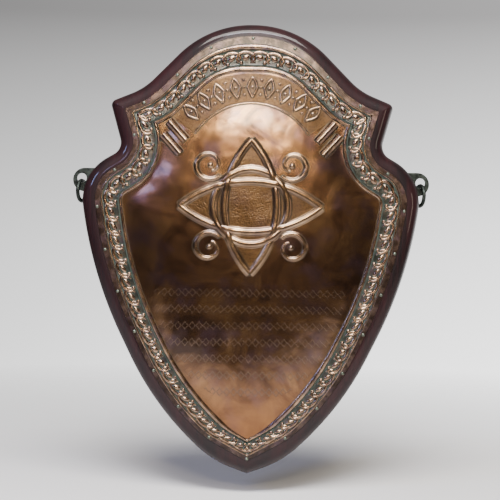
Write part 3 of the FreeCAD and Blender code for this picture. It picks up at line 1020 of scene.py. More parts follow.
@dataclass(frozen=True)
class StrapSection:
    """Half-round section of a strap, with a sunk root and perhaps a low lip along both edges."""

    width: float
    height: float
    root: float
    lip: float = 0.0
    steps: int = 8
    lipped_share: float = 0.84
    lip_edge_share: float = 0.7
    lip_foot_share: float = 0.6
    round_share: float = 0.97
    fullness: float = 0.8

    def places(self) -> list[tuple[float, float]]:
        """Places across and up, anticlockwise from the left end of the root."""
        half = self.width / 2
        body = half * (self.lipped_share if self.lip else 1.0)
        foot = self.lip * self.lip_foot_share
        lip = [(half, self.lip * self.lip_edge_share), (body, self.lip)] if self.lip else []
        places = [(-half, -self.root), (half, -self.root), *lip]
        for step in range(self.steps + 1):
            angle = math.pi * step / self.steps
            rise = foot + (self.height - foot) * math.sin(angle) ** self.fullness
            places.append((body * self.round_share * math.cos(angle), rise))
        return places + [(-across, up) for across, up in reversed(lip)]

    def curve(self) -> Curve:
        """Flat closed curve through the section's places."""
        curve = bpy.data.curves.new("strap_section", "CURVE")
        curve.dimensions = "2D"
        places = self.places()
        spline = curve.splines.new("POLY")
        spline.points.add(len(places) - 1)
        for point, (across, up) in zip(spline.points, places):
            point.co = (across, up, 0, 1)
        spline.use_cyclic_u = True
        return curve

    def sweep(self, straps: Sequence[Strap]) -> BMesh:
        """Sweep the section along several straps.

        Args:
            straps: The straps.

        Returns:
            The mesh, in bench millimetres.
        """
        section = link_to_scene("strap_section", self.curve())
        curve = bpy.data.curves.new("straps", "CURVE")
        curve.dimensions = "3D"
        curve.twist_mode = "Z_UP"
        curve.bevel_mode = "OBJECT"
        curve.bevel_object = section
        curve.use_fill_caps = True
        for strap in straps:
            spline = curve.splines.new("POLY")
            spline.points.add(len(strap.points) - 1)
            widths = strap.widths or [1.0] * len(strap.points)
            for point, place, width in zip(spline.points, strap.points, widths):
                point.co = (*place, 1)
                point.radius = width
            spline.use_cyclic_u = strap.closed
        lines = link_to_scene("straps", curve)
        bm = bmesh.new()
        mesh = baked(lines)
        bm.from_mesh(mesh)
        bmesh.ops.remove_doubles(bm, verts=bm.verts, dist=MERGE_MM)
        bpy.data.meshes.remove(mesh)
        for made in (lines, section):
            data = made.data
            bpy.data.objects.remove(made)
            bpy.data.curves.remove(data)
        return bm


def baked(shown: Object) -> Mesh:
    """New mesh of an object as it stands, with its modifiers."""
    bpy.context.view_layer.update()
    graph = bpy.context.evaluated_depsgraph_get()
    return bpy.data.meshes.new_from_object(shown.evaluated_get(graph))


def arc_points(centre: tuple[float, float], radius: float, start: float, sweep: float,
               step: float = 1.5) -> list[Vector]:
    """Points along an arc.

    Args:
        centre: Its centre.
        radius: Its radius.
        start: Start angle in degrees from X towards Y.
        sweep: Signed angle that it covers, in degrees.
        step: Distance between points.

    Returns:
        Flat points with a height of zero.
    """
    count = max(2, round(abs(math.radians(sweep)) * radius / step))
    points = []
    for k in range(count + 1):
        angle = math.radians(start + sweep * k / count)
        points.append(Vector((centre[0] + radius * math.cos(angle),
                              centre[1] + radius * math.sin(angle), 0)))
    return points


@dataclass(frozen=True)
class RoundBoss:
    """Round boss, such as a berry or pellet, whose lower half is sunk."""

    radius: float
    height: float
    sides: int = 12
    levels: int = 8

    def add(self, bm: BMesh, place: Vector, share: float = 1.0) -> None:
        """Add the boss to a mesh.

        Args:
            bm: Mesh that gets it.
            place: Middle of its foot.
            share: Share of its radius that it has here.
        """
        radius = self.radius * share
        matrix = Matrix.Translation(place) @ Matrix.Diagonal((radius, radius, self.height, 1))
        bmesh.ops.create_uvsphere(bm, u_segments=self.sides, v_segments=self.levels, radius=1,
                                  matrix=matrix)


@dataclass(frozen=True)
class RimBand:
    """Band of the sheet's worked rim: width at the crown and the share each side takes."""

    width: float
    shares: tuple[float, ...]


@dataclass
class ShieldSizes:
    """Driving sizes of the board and sheet, in millimetres, shared by the pieces."""

    half_width: float = 167.5
    bare_margin: float = 13.2
    foot_slide: float = 17.0
    sheet: float = 0.9
    riband_radius: float = 98.0
    flange: RimBand = RimBand(7.4, (1.00, 0.81, 0.73, 0.70, 0.57, 0.84, 0.57, 0.54, 0.54))
    outer_bead: RimBand = RimBand(6.2, (1.00, 0.42, 0.29, 0.32, 0.35, 0.29, 0.32, 0.32, 0.32))
    channel: RimBand = RimBand(16.2, (1.00, 0.94, 0.95, 1.01, 1.15, 0.99, 0.85, 0.78, 0.65))
    inner_bead: RimBand = RimBand(6.0, (1.00, 0.77, 0.67, 0.60, 0.53, 0.47, 0.80, 0.90, 0.53))
    half_height: float = field(init=False)
    board: float = field(init=False)
    front: float = field(init=False)
    outline: RoundedOutline = field(init=False)
    sheet_outline: RoundedOutline = field(init=False)

    def __post_init__(self) -> None:
        """Take the board's height and thickness from the frame and lay out the outlines."""
        low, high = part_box("backboard")
        self.half_height = high.z / MM
        self.board = -low.y / MM
        self.front = -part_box("copper_plate")[0].y / MM
        corners = [Vector((c.across_share * self.half_width, c.up_share * self.half_height))
                   for c in BOARD_CORNERS]
        radii = [c.rounding_share * self.half_width for c in BOARD_CORNERS]
        self.outline = RoundedOutline(corners, radii)
        moved = self.outline.evenly_inset(self.bare_margin)
        up_the_side = (moved.corners[-3] - moved.corners[-2]).normalized()
        moved.corners[-2] = moved.corners[-2] + up_the_side * self.foot_slide
        moved.count_points()
        self.sheet_outline = moved

    def rim(self, place: float) -> RoundedOutline:
        """Line in the worked rim at a place counted in bands from the sheet's edge.

        Args:
            place: Number of bands, and the share of the next one.

        Returns:
            The line.
        """
        insets = [0.0] * len(self.flange.shares)
        bands = (self.flange, self.outer_bead, self.channel, self.inner_bead)
        for number, rim_band in enumerate(bands):
            part = min(max(place - number, 0.0), 1.0)
            insets = [inset + part * rim_band.width * share
                      for inset, share in zip(insets, rim_band.shares)]
        return self.sheet_outline.inset(insets)

    @property
    def ground(self) -> float:
        """Height of the sheet's flat front above the bench."""
        return self.board + self.sheet

    @property
    def riband_centre(self) -> Vector:
        """Centre that the riband's arcs are struck from."""
        return Vector((0, self.rim(Band.FIELD).corners[0].y - self.riband_radius, 0))


@dataclass
class Backboard:
    """Mahogany board with a rounded front edge and pockets for the hanger plates."""

    sizes: ShieldSizes
    front_round: float = 12.0
    front_steps: int = 14
    back_round: float = 1.5
    back_steps: int = 3
    flat_margin: float = 1.0
    pocket_depth: float = 3.0
    pocket_radius: float = 12.0
    pocket_reach: float = 56.0
    pocket_step: float = 0.6
    eye_up_share: float = 0.302
    overrun: float = 1.0
    sharp_degrees: float = 50.0

    def build(self, finish: Material) -> None:
        """Build the board.

        Args:
            finish: Wood finish.
        """
        rings = [self.ring(self.back_round + self.flat_margin, 0.0)]
        for step in range(self.back_steps + 1):
            angle = math.pi / 2 * step / self.back_steps
            inset = self.back_round * (1 - math.sin(angle))
            rings.append(self.ring(inset, self.back_round * (1 - math.cos(angle))))
        for step in range(self.front_steps + 1):
            angle = math.pi / 2 * step / self.front_steps
            inset = self.front_round * (1 - math.cos(angle))
            height = self.sizes.board - self.front_round * (1 - math.sin(angle))
            rings.append(self.ring(inset, height))
        rings.append(self.ring(self.front_round + self.flat_margin, self.sizes.board))
        board = piece_from(loft(rings), "board", finish, self.sharp_degrees)
        for side in (RIGHT, LEFT):
            self.cut_pocket(board, side)
        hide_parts("backboard")

    def ring(self, inset: float, height: float) -> list[Vector]:
        """Ring at an even inset from the board's outline."""
        return raised(self.sizes.outline.evenly_inset(inset).ring(), height)

    def pocket(self, side: int) -> Mesh:
        """Solid of one hanger plate's pocket: a bar with round ends, from behind the back.

        Args:
            side: RIGHT or LEFT.

        Returns:
            The mesh.
        """
        eye_x = self.sizes.half_width
        eye_y = self.sizes.half_height * self.eye_up_share
        outer = arc_points((side * eye_x, eye_y), self.pocket_radius, -90, side * 180,
                           self.pocket_step)
        inner = arc_points((side * (eye_x - self.pocket_reach), eye_y), self.pocket_radius, 90,
                           side * 180, self.pocket_step)
        bm = bmesh.new()
        face = bm.faces.new([bm.verts.new((p.x, p.y, -self.overrun)) for p in outer + inner])
        made = bmesh.ops.extrude_face_region(bm, geom=[face])["geom"]
        lifted = [v for v in made if isinstance(v, BMVert)]
        bmesh.ops.translate(bm, verts=lifted,
                            vec=Vector((0, 0, self.pocket_depth + self.overrun)))
        return mesh_from(bm, "pocket")

    def cut_pocket(self, board: Object, side: int) -> None:
        """Let one hanger plate's pocket into the back.

        Args:
            board: The board's piece.
            side: RIGHT or LEFT.
        """
        cutter = link_to_scene("pocket", self.pocket(side))
        modifier = board.modifiers.new("pocket", "BOOLEAN")
        modifier.operation = "DIFFERENCE"
        modifier.solver = "EXACT"
        modifier.object = cutter
        carved = baked(board)
        board.modifiers.clear()
        used = (board.data, cutter.data)
        board.data = carved
        carved.name = board.name
        carved.set_sharp_from_angle(angle=math.radians(self.sharp_degrees))
        bpy.data.objects.remove(cutter)
        for mesh in used:
            bpy.data.meshes.remove(mesh)


@dataclass
class CopperSheet:
    """One sheet of copper: flange, outer bead, channel, inner bead and domed field."""

    sizes: ShieldSizes
    edge_slope: float = 0.35
    flange_places: tuple[float, ...] = (0.12, 0.5, 0.93)
    bead_steps: int = 8
    outer_height: float = 2.3
    inner_height: float = 1.7
    steepest: float = 0.45
    channel_depth: float = 0.35
    channel_places: tuple[float, ...] = (0.03, 0.08, 0.3, 0.5, 0.7, 0.86, 0.89, 0.92, 0.95, 0.98)
    outer_wall_share: float = 0.08
    inner_wall_share: float = 0.02
    ridge_height: float = 0.55
    ridge_place: float = 0.92
    ridge_half_share: float = 0.035
    field_rise: float = 3.6
    slope_reach: float = 14.0
    field_rings: int = 44
    calm_share: float = 0.05
    middle_share: float = 0.036
    hammer_mm: float = 26.0
    hammer_depth: float = 0.30
    hammer_layer: float = 3.7
    facet_mm: float = 10.0
    facet_depth: float = 0.07
    facet_layer: float = 9.1
    edge: np.ndarray = field(init=False)
    edge_runs: np.ndarray = field(init=False)

    def __post_init__(self) -> None:
        """Measure the field's edge."""
        self.edge = np.array([p[:2] for p in self.sizes.rim(Band.FIELD).ring()])
        steps = np.roll(self.edge, -1, axis=0) - np.roll(self.edge, 1, axis=0)
        self.edge_runs = np.hypot(steps[:, 0], steps[:, 1]) / 2

    def build(self, finishes: dict[SheetFinish, Material]) -> None:
        """Build the sheet.

        Args:
            finishes: Copper finish of every part of the sheet.
        """
        sizes = self.sizes
        rings = [raised(sizes.sheet_outline.ring(), sizes.board),
                 raised(sizes.sheet_outline.evenly_inset(self.edge_slope).ring(), sizes.ground)]
        first = len(rings)
        places = self.rim_places()
        rings += [self.rim_ring(place) for place in places]
        foot = np.array([p[:2] for p in rings[-1]])
        middle = np.array([0.0, sizes.half_height * self.middle_share])
        for k in range(1, self.field_rings):
            share = 1 - k / self.field_rings
            flat = middle + (foot - middle) * share
            heights = self.field_heights(flat, share)
            rings.append([Vector((x, y, h)) for (x, y), h in zip(flat, heights)])
        height = self.field_heights(middle[None, :], 0.0)[0]
        sheet = piece_from(loft(rings, Vector((*middle, height))), "copper_sheet",
                           finishes[SheetFinish.FIELD])
        for part in list(SheetFinish)[1:]:
            sheet.data.materials.append(finishes[part])
        self.finish_bands(sheet, places, first, len(foot))
        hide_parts("copper_plate")

    @staticmethod
    def finish_bands(sheet: Object, places: Sequence[float], first: int, around: int) -> None:
        """Give the channel, the flange and the beads their own finishes.

        Args:
            sheet: The sheet's piece.
            places: Place in the rim of every ring.
            first: Number of the first of these rings.
            around: Points in a ring.
        """
        parts = [SheetFinish.FLANGE] * first
        for outer, inner in zip(places, places[1:]):
            if inner <= Band.OUTER_BEAD:
                parts.append(SheetFinish.FLANGE)
            elif outer >= Band.CHANNEL and inner <= Band.INNER_BEAD:
                parts.append(SheetFinish.CHANNEL)
            else:
                parts.append(SheetFinish.BEADS)
        for polygon in sheet.data.polygons:
            rows = [index // around for index in polygon.vertices]
            if max(rows) - min(rows) == 1 and min(rows) < len(parts):
                polygon.material_index = parts[min(rows)]

    def rim_places(self) -> list[float]:
        """Place of every ring across the rim, counted in bands."""
        bead = [(1 - math.cos(math.pi * k / self.bead_steps)) / 2
                for k in range(self.bead_steps + 1)]
        places = list(self.flange_places)
        for band, shares in ((Band.OUTER_BEAD, bead), (Band.CHANNEL, self.channel_places),
                             (Band.INNER_BEAD, bead)):
            places += [band + share for share in shares]
        return places

    def rim_ring(self, place: float) -> list[Vector]:
        """Ring of the rim, with beads no steeper where their band is narrow.

        Args:
            place: Place across the rim, counted in bands.

        Returns:
            The ring's points.
        """
        sizes = self.sizes
        ring = raised(sizes.rim(place).ring(), sizes.ground)
        band, share = divmod(place, 1)
        if band in (Band.OUTER_BEAD, Band.INNER_BEAD):
            most = self.outer_height if band == Band.OUTER_BEAD else self.inner_height
            outer = sizes.rim(band).ring()
            inner = sizes.rim(band + 1).ring()
            round_share = math.sqrt(max(0.0, 1 - (2 * share - 1) ** 2))
            for point, a, b in zip(ring, outer, inner):
                point.z += min(most, self.steepest * (a - b).length) * round_share
        elif band == Band.CHANNEL:
            low = min(1.0, share / self.outer_wall_share, (1 - share) / self.inner_wall_share)
            ridge = max(0.0, 1 - abs(share - self.ridge_place) / self.ridge_half_share)
            for point in ring:
                point.z += self.ridge_height * ridge - self.channel_depth * low
        return ring

    def field_heights(self, flat: np.ndarray, share: float) -> np.ndarray:
        """Height of the hammered field at some places.

        Args:
            flat: Places on the bench, one a row.
            share: How much the field's outline has shrunk there, from 1 at its foot.

        Returns:
            Height above the bench of every place.
        """
        dents = np.array([self.hammering(x, y) for x, y in flat])
        calm = min(1.0, (1 - share) / self.calm_share)
        return self.sizes.ground + self.dome(flat) + dents * calm

    def dome(self, flat: np.ndarray) -> np.ndarray:
        """Rise of the smooth dome above the field's edge.

        The dome is low where much of the field's edge is near, so it has no creases.

        Args:
            flat: Places on the bench, one a row.

        Returns:
            Rise of every place.
        """
        x, y = flat[:, :1], flat[:, 1:2]
        gaps = np.hypot(x - self.edge[:, 0], y - self.edge[:, 1])
        near = (np.exp(-gaps / self.slope_reach) * self.edge_runs).sum(axis=1)
        return self.field_rise * np.clip(1 - near / (2 * self.slope_reach), 0, 1)

    def hammering(self, x: float, y: float) -> float:
        """Rise and fall that the planishing hammer left at a place."""
        broad = noise.noise(Vector((x / self.hammer_mm, y / self.hammer_mm, self.hammer_layer)))
        soft = noise.noise(Vector((x / self.facet_mm, y / self.facet_mm, self.facet_layer)))
        return self.hammer_depth * broad + self.facet_depth * soft


@dataclass
class Channel:
    """Middle line of the border channel and its half width, from the apex to the tip."""

    sizes: ShieldSizes
    outer_place: float = 2.03
    inner_place: float = 2.87
    end_gap: float = 1e-6
    middle: Course = field(init=False)
    across: list[Vector] = field(init=False)

    def __post_init__(self) -> None:
        """Measure along the middle of the channel."""
        outer = self.sizes.rim(self.outer_place).half()
        inner = self.sizes.rim(self.inner_place).half()
        self.middle = Course([(a + b) / 2 for a, b in zip(outer, inner)])
        self.across = [(a - b) / 2 for a, b in zip(outer, inner)]

    @property
    def length(self) -> float:
        """Length of one half of the channel."""
        return self.middle.length

    def at(self, distance: float, share: float) -> Vector:
        """Place in the right half of the channel.

        Args:
            distance: Distance from the apex; before it the line runs on to the left.
            share: Place across, from -1 at the inner edge to 1 at the outer.

        Returns:
            Flat place on the bench.
        """
        along = min(abs(distance), 2 * self.length - abs(distance), self.length - self.end_gap)
        i, part = self.middle.locate(along)
        place = self.middle.at(along) + self.across[i - 1].lerp(self.across[i], part) * share
        beyond = distance < 0 or distance > self.length
        return Vector((-place.x if beyond else place.x, place.y))

    def half_width(self, distance: float) -> float:
        """Half the channel's width at a distance from the apex."""
        return (self.at(distance, 1) - self.at(distance, 0)).length


@dataclass
class BorderOrnament:
    """Running scroll in the channel: overlapping crescents, each with a leaf and a berry.

    The scroll runs from the apex down both sides and meets under a pointed leaf at the tip.
    """

    sizes: ShieldSizes
    wanted_pitch: float = 14.6
    full_half_width: float = 6.6
    least_room: float = 0.35
    inward: float = 0.10
    sink: float = 0.3
    strand: StrapSection = StrapSection(4.1, 2.2, 0.5, steps=5)
    strand_points: int = 22
    strand_end_share: float = 0.45
    strand_fullness: float = 0.6
    half_length: float = 0.62
    half_breadth: float = 0.84
    start_angle: float = 238.0
    sweep: float = 292.0
    weave: float = 0.7
    berry: RoundBoss = RoundBoss(2.2, 2.2, 10, 6)
    berry_inset_share: float = 0.82
    berry_lift: float = 0.3
    apex_berry_place: float = 0.45
    leaf_length: float = 10.4
    leaf_width: float = 7.0
    leaf_height: float = 2.2
    leaf_root: float = 0.35
    leaf_lean: float = 24.0
    leaf_point: float = 0.6
    leaf_fullness: float = 0.7
    leaf_back_share: float = 0.02
    leaf_out_share: float = 0.08
    leaf_grid: tuple[int, int] = (7, 6)
    tip_leaf_ends: tuple[float, float] = (0.9, -0.75)
    tip_leaf_half_width: float = 3.0
    tip_leaf_height: float = 2.3
    tip_leaf_root: float = 0.3
    tip_leaf_point: float = 0.75
    tip_leaf_fullness: float = 0.6
    vein_depth: float = 0.25
    vein_half_share: float = 0.25
    tip_leaf_grid: tuple[int, int] = (8, 6)
    channel: Channel = field(init=False)
    repeats: int = field(init=False)
    pitch: float = field(init=False)

    def __post_init__(self) -> None:
        """Fit a whole number of repeats into each half."""
        self.channel = Channel(self.sizes)
        self.repeats = round(self.channel.length / self.wanted_pitch)
        self.pitch = self.channel.length / self.repeats

    def build(self, finish: Material) -> None:
        """Build the crescents, the berries and the leaves.

        Args:
            finish: Copper finish of the ornament.
        """
        for name, bm in (("border_crescents", self.crescents()),
                         ("border_berries", self.berries()),
                         ("border_leaves", self.leaves())):
            piece_from(bm, name, finish)

    def middles(self) -> list[tuple[int, float]]:
        """Side of every repeat and the distance of its middle from the apex."""
        return [(side, (k + 0.5) * self.pitch) for side in (RIGHT, LEFT)
                for k in range(self.repeats)]

    def room(self, distance: float) -> float:
        """Share of its full size that a repeat has room for."""
        width_share = self.channel.half_width(distance) / self.full_half_width
        return min(1.0, self.least_room + (1 - self.least_room) * width_share)

    def placed(self, middle: float, along: float, share: float, height: float,
               side: int) -> Vector:
        """Place in a repeat.

        Args:
            middle: Distance of the repeat's middle from the apex.
            along: Distance from the middle, in shares of the pitch.
            share: Place across the channel, in half widths.
            height: Height above the channel's ground.
            side: RIGHT or LEFT.

        Returns:
            Place on the bench.
        """
        place = self.channel.at(middle + along * self.pitch, share - self.inward)
        return Vector((side * place.x, place.y, self.sizes.ground - self.sink + height))

    def crescents(self) -> BMesh:
        """Crescent of every repeat, from under its neighbour round to its own berry.

        Returns:
            The mesh.
        """
        straps = []
        for side, middle in self.middles():
            room = self.room(middle)
            points, widths = [], []
            for k in range(self.strand_points + 1):
                share = k / self.strand_points
                angle = math.radians(self.start_angle - self.sweep * share)
                points.append(self.placed(middle, self.half_length * math.cos(angle),
                                          self.half_breadth * math.sin(angle),
                                          self.weave * (share - 0.5), side))
                bulge = math.sin(math.pi * share) ** self.strand_fullness
                ends = self.strand_end_share
                widths.append(room * (ends + (1 - ends) * bulge))
            straps.append(Strap(points, widths))
        return self.strand.sweep(straps)

    def berries(self) -> BMesh:
        """Berry at the end of every crescent, and one at the apex.

        Returns:
            The mesh.
        """
        bm = bmesh.new()
        end = math.radians(self.start_angle - self.sweep)
        along = self.half_length * math.cos(end) * self.berry_inset_share
        for side, middle in self.middles():
            place = self.placed(middle, along, self.half_breadth * math.sin(end),
                                self.berry_lift, side)
            self.berry.add(bm, place, self.room(middle))
        self.berry.add(bm, self.placed(0.0, 0.0, self.apex_berry_place, 0.0, RIGHT))
        return bm

    def leaves(self) -> BMesh:
        """Leaning leaf inside every crescent and a pointed one at the tip.

        Returns:
            The mesh.
        """
        bm = bmesh.new()
        for side, middle in self.middles():
            self.leaf(bm, middle, side)
        self.tip_leaf(bm)
        return bm

    def leaf(self, bm: BMesh, middle: float, side: int) -> None:
        """Add one leaf that leans from the outer edge towards its berry.

        Args:
            bm: Mesh that gets it.
            middle: Distance of the repeat's middle from the apex.
            side: RIGHT or LEFT.
        """
        room = self.room(middle)
        half = self.channel.half_width(middle)
        lean = math.radians(self.leaf_lean)
        columns, rows = self.leaf_grid
        grid = bmesh.ops.create_grid(bm, x_segments=columns, y_segments=rows, size=1)
        for vert in grid["verts"]:
            u, v = vert.co.x, vert.co.y
            outline = max(0.0, 1 - u * u) ** self.leaf_point
            ridge = (1 - v * v) ** self.leaf_fullness
            height = -self.leaf_root + self.leaf_height * room * ridge * outline
            x = u * self.leaf_length / 2
            y = v * outline * self.leaf_width / 2
            along = (x * math.cos(lean) + y * math.sin(lean)) * room / self.pitch
            across = (y * math.cos(lean) - x * math.sin(lean)) * room / half
            vert.co = self.placed(middle, along - self.leaf_back_share,
                                  across + self.leaf_out_share, height, side)

    def tip_leaf(self, bm: BMesh) -> None:
        """Add the pointed leaf that covers the meeting of both halves at the tip.

        Args:
            bm: Mesh that gets it.
        """
        outer, inner = [self.channel.at(self.channel.length, end) for end in self.tip_leaf_ends]
        columns, rows = self.tip_leaf_grid
        grid = bmesh.ops.create_grid(bm, x_segments=columns, y_segments=rows, size=1)
        for vert in grid["verts"]:
            u, v = vert.co.x, vert.co.y
            outline = max(0.0, 1 - u * u) ** self.tip_leaf_point
            vein = 1 - self.vein_depth * (1 - min(1.0, abs(v) / self.vein_half_share))
            ridge = (1 - v * v) ** self.tip_leaf_fullness
            height = self.tip_leaf_height * outline * ridge * vein - self.tip_leaf_root
            up = outer.y + (inner.y - outer.y) * (u + 1) / 2
            vert.co = (v * outline * self.tip_leaf_half_width, up,
                       self.sizes.ground - self.sink + height)


@dataclass
class StrapKnot:
    """Generic knot in raised strapwork: two pointed loops woven through a ring, with scrolls."""

    sizes: ShieldSizes
    middle_share: float = 0.1875
    height: float = 132.0
    width: float = 140.0
    tall_loop: float = 52.0
    wide_loop: float = 50.0
    ring_radius: float = 37.0
    strap: StrapSection = StrapSection(8.8, 2.25, 1.2, lip=0.7, steps=9)
    scroll: StrapSection = StrapSection(5.6, 2.25, 1.2, lip=0.6, steps=7)
    scroll_reach: float = 57.0
    scroll_radius: float = 14.0
    scroll_sweep: float = 385.0
    scroll_points: int = 60
    straight_share: float = 0.35
    end_width_share: float = 0.5
    curl_radius: float = 5.6
    boss: RoundBoss = RoundBoss(3.024, 2.25, 20, 12)
    weave: float = 0.35
    weave_reach: float = 8.0
    foot_rise: float = 3.3

    @property
    def middle(self) -> float:
        """Height of the knot's middle up the shield."""
        return self.sizes.half_height * self.middle_share

    @property
    def foot(self) -> float:
        """Height of the domed ground below the straps."""
        return self.sizes.ground + self.foot_rise

    def build(self, finish: Material) -> None:
        """Build the loops with their ring, the scrolls and the bosses.

        Args:
            finish: Copper finish of the strapwork.
        """
        for name, bm in (("knot_straps", self.straps()), ("knot_scrolls", self.scrolls()),
                         ("knot_bosses", self.bosses())):
            piece_from(bm, name, finish)

    def straps(self) -> BMesh:
        """Straps of the two loops, woven through the ring.

        Returns:
            The mesh.
        """
        ring = arc_points((0.0, self.middle), self.ring_radius, 0.0, 360.0)
        paths = self.loops() + [ring]
        straps = []
        for path, lifts in zip(paths, self.woven(paths)):
            points = [Vector((p.x, p.y, self.foot + lift)) for p, lift in zip(path, lifts)]
            closed = path is ring
            straps.append(Strap(points[:-1] if closed else points, closed=closed))
        return self.strap.sweep(straps)

    def loop_circles(self) -> list[list[tuple[tuple[float, float], float]]]:
        """Centre and radius of both arcs of the upright loop and then of the level one.

        An arc that bulges to the right or upwards comes before its partner.
        """
        loops = []
        for upright, length, width in ((True, self.height, self.tall_loop),
                                       (False, self.width, self.wide_loop)):
            radius = ((length / 2) ** 2 + (width / 2) ** 2) / width
            circles = []
            for side in (1, -1):
                offset = -side * (radius - width / 2)
                centre = (offset, self.middle) if upright else (0.0, self.middle + offset)
                circles.append((centre, radius))
            loops.append(circles)
        return loops

    def loops(self) -> list[list[Vector]]:
        """Middle lines of the two pointed loops' four straps."""
        lines = []
        for circles, length, turn in zip(self.loop_circles(), (self.height, self.width),
                                         (0.0, 90.0)):
            for (centre, radius), facing in zip(circles, (turn, turn + 180.0)):
                spread = math.degrees(math.asin(length / 2 / radius))
                lines.append(arc_points(centre, radius, facing - spread, 2 * spread))
        return lines

    def woven(self, paths: list[list[Vector]]) -> list[list[float]]:
        """Lift of every point so that straps pass over and under in turn.

        Args:
            paths: Middle lines of the straps.

        Returns:
            Lift of every point of every strap.
        """
        places = self.crossings(paths)
        turns = self.turns(places)
        lifts = []
        for path, found in zip(paths, places):
            step = (path[1] - path[0]).length
            lift = [0.0] * len(path)
            for index, number in found:
                sign = 1 - 2 * turns[number].pop(0)
                for k in range(len(path)):
                    gap = min(1.0, abs(k - index) * step / self.weave_reach)
                    lift[k] += sign * self.weave * (0.5 + 0.5 * math.cos(math.pi * gap))
            lifts.append(lift)
        return lifts

    @staticmethod
    def turns(places: list[list[tuple[float, int]]]) -> dict[int, list[int]]:
        """Choose which strap passes over at every crossing.

        Args:
            places: Place and number of all the crossings along every strap.

        Returns:
            By number, 0 for over or 1 for under, for the first and the second of its straps.
        """
        turns = {}
        for pattern in range(2 ** len(places)):
            turns = {}
            for i, found in enumerate(places):
                for turn, (_, number) in enumerate(found):
                    turns.setdefault(number, []).append((turn + (pattern >> i)) % 2)
            if all(first != second for first, second in turns.values()):
                break
        return turns

    def crossings(self, paths: list[list[Vector]]) -> list[list[tuple[float, int]]]:
        """Place along each strap and number of all the crossings on it, in order.

        Args:
            paths: Middle lines of the straps.

        Returns:
            One list for every strap.
        """
        found = [[] for _ in paths]
        number = 0
        for i, path in enumerate(paths):
            for j in range(i + 1, len(paths)):
                for a in range(1, len(path) - 2):
                    for b in range(len(paths[j]) - 1):
                        if self.cross(path[a], path[a + 1], paths[j][b], paths[j][b + 1]):
                            found[i].append((a + 0.5, number))
                            found[j].append((b + 0.5, number))
                            number += 1
        return [sorted(places) for places in found]

    @staticmethod
    def cross(a: Vector, b: Vector, c: Vector, d: Vector) -> bool:
        """Whether the runs from a to b and from c to d cross."""
        def side(p: Vector, q: Vector, r: Vector) -> float:
            """Which side of the line through p and q the point r is on, by its sign."""
            return (q.x - p.x) * (r.y - p.y) - (q.y - p.y) * (r.x - p.x)
        return side(a, b, c) * side(a, b, d) < 0 and side(c, d, a) * side(c, d, b) < 0

    def scroll_centres(self) -> list[tuple[int, int, Vector]]:
        """Side, level and middle of every scroll."""
        reach = self.scroll_reach * math.sqrt(0.5)
        return [(side, level, Vector((side * reach, self.middle + level * reach, self.foot)))
                for side in (1, -1) for level in (1, -1)]

    def scrolls(self) -> BMesh:
        """Four scrolls that leave the ring and curl up round a boss.

        Returns:
            The mesh.
        """
        straps = []
        for side, level, centre in self.scroll_centres():
            start = math.degrees(math.atan2(-level, -side))
            sweep = side * level * self.scroll_sweep
            points, widths = [], []
            for k in range(self.scroll_points + 1):
                share = k / self.scroll_points
                angle = math.radians(start + sweep * share)
                curl = max(0.0, share - self.straight_share) / (1 - self.straight_share)
                radius = self.scroll_radius + (self.curl_radius - self.scroll_radius) * curl
                arm = Vector((math.cos(angle), math.sin(angle), 0))
                points.append(centre + arm * radius)
                widths.append(1 - (1 - self.end_width_share) * curl)
            straps.append(Strap(points, widths))
        return self.scroll.sweep(straps)

    def bosses(self) -> BMesh:
        """Bosses in the scrolls' eyes.

        Returns:
            The mesh.
        """
        bm = bmesh.new()
        for _, _, centre in self.scroll_centres():
            self.boss.add(bm, centre)
        return bm


@dataclass(frozen=True)
class CoilStep:
    """Step of a roll's end face: how far inwards it goes, and how far out of the end."""

    inwards: float
    outwards: float


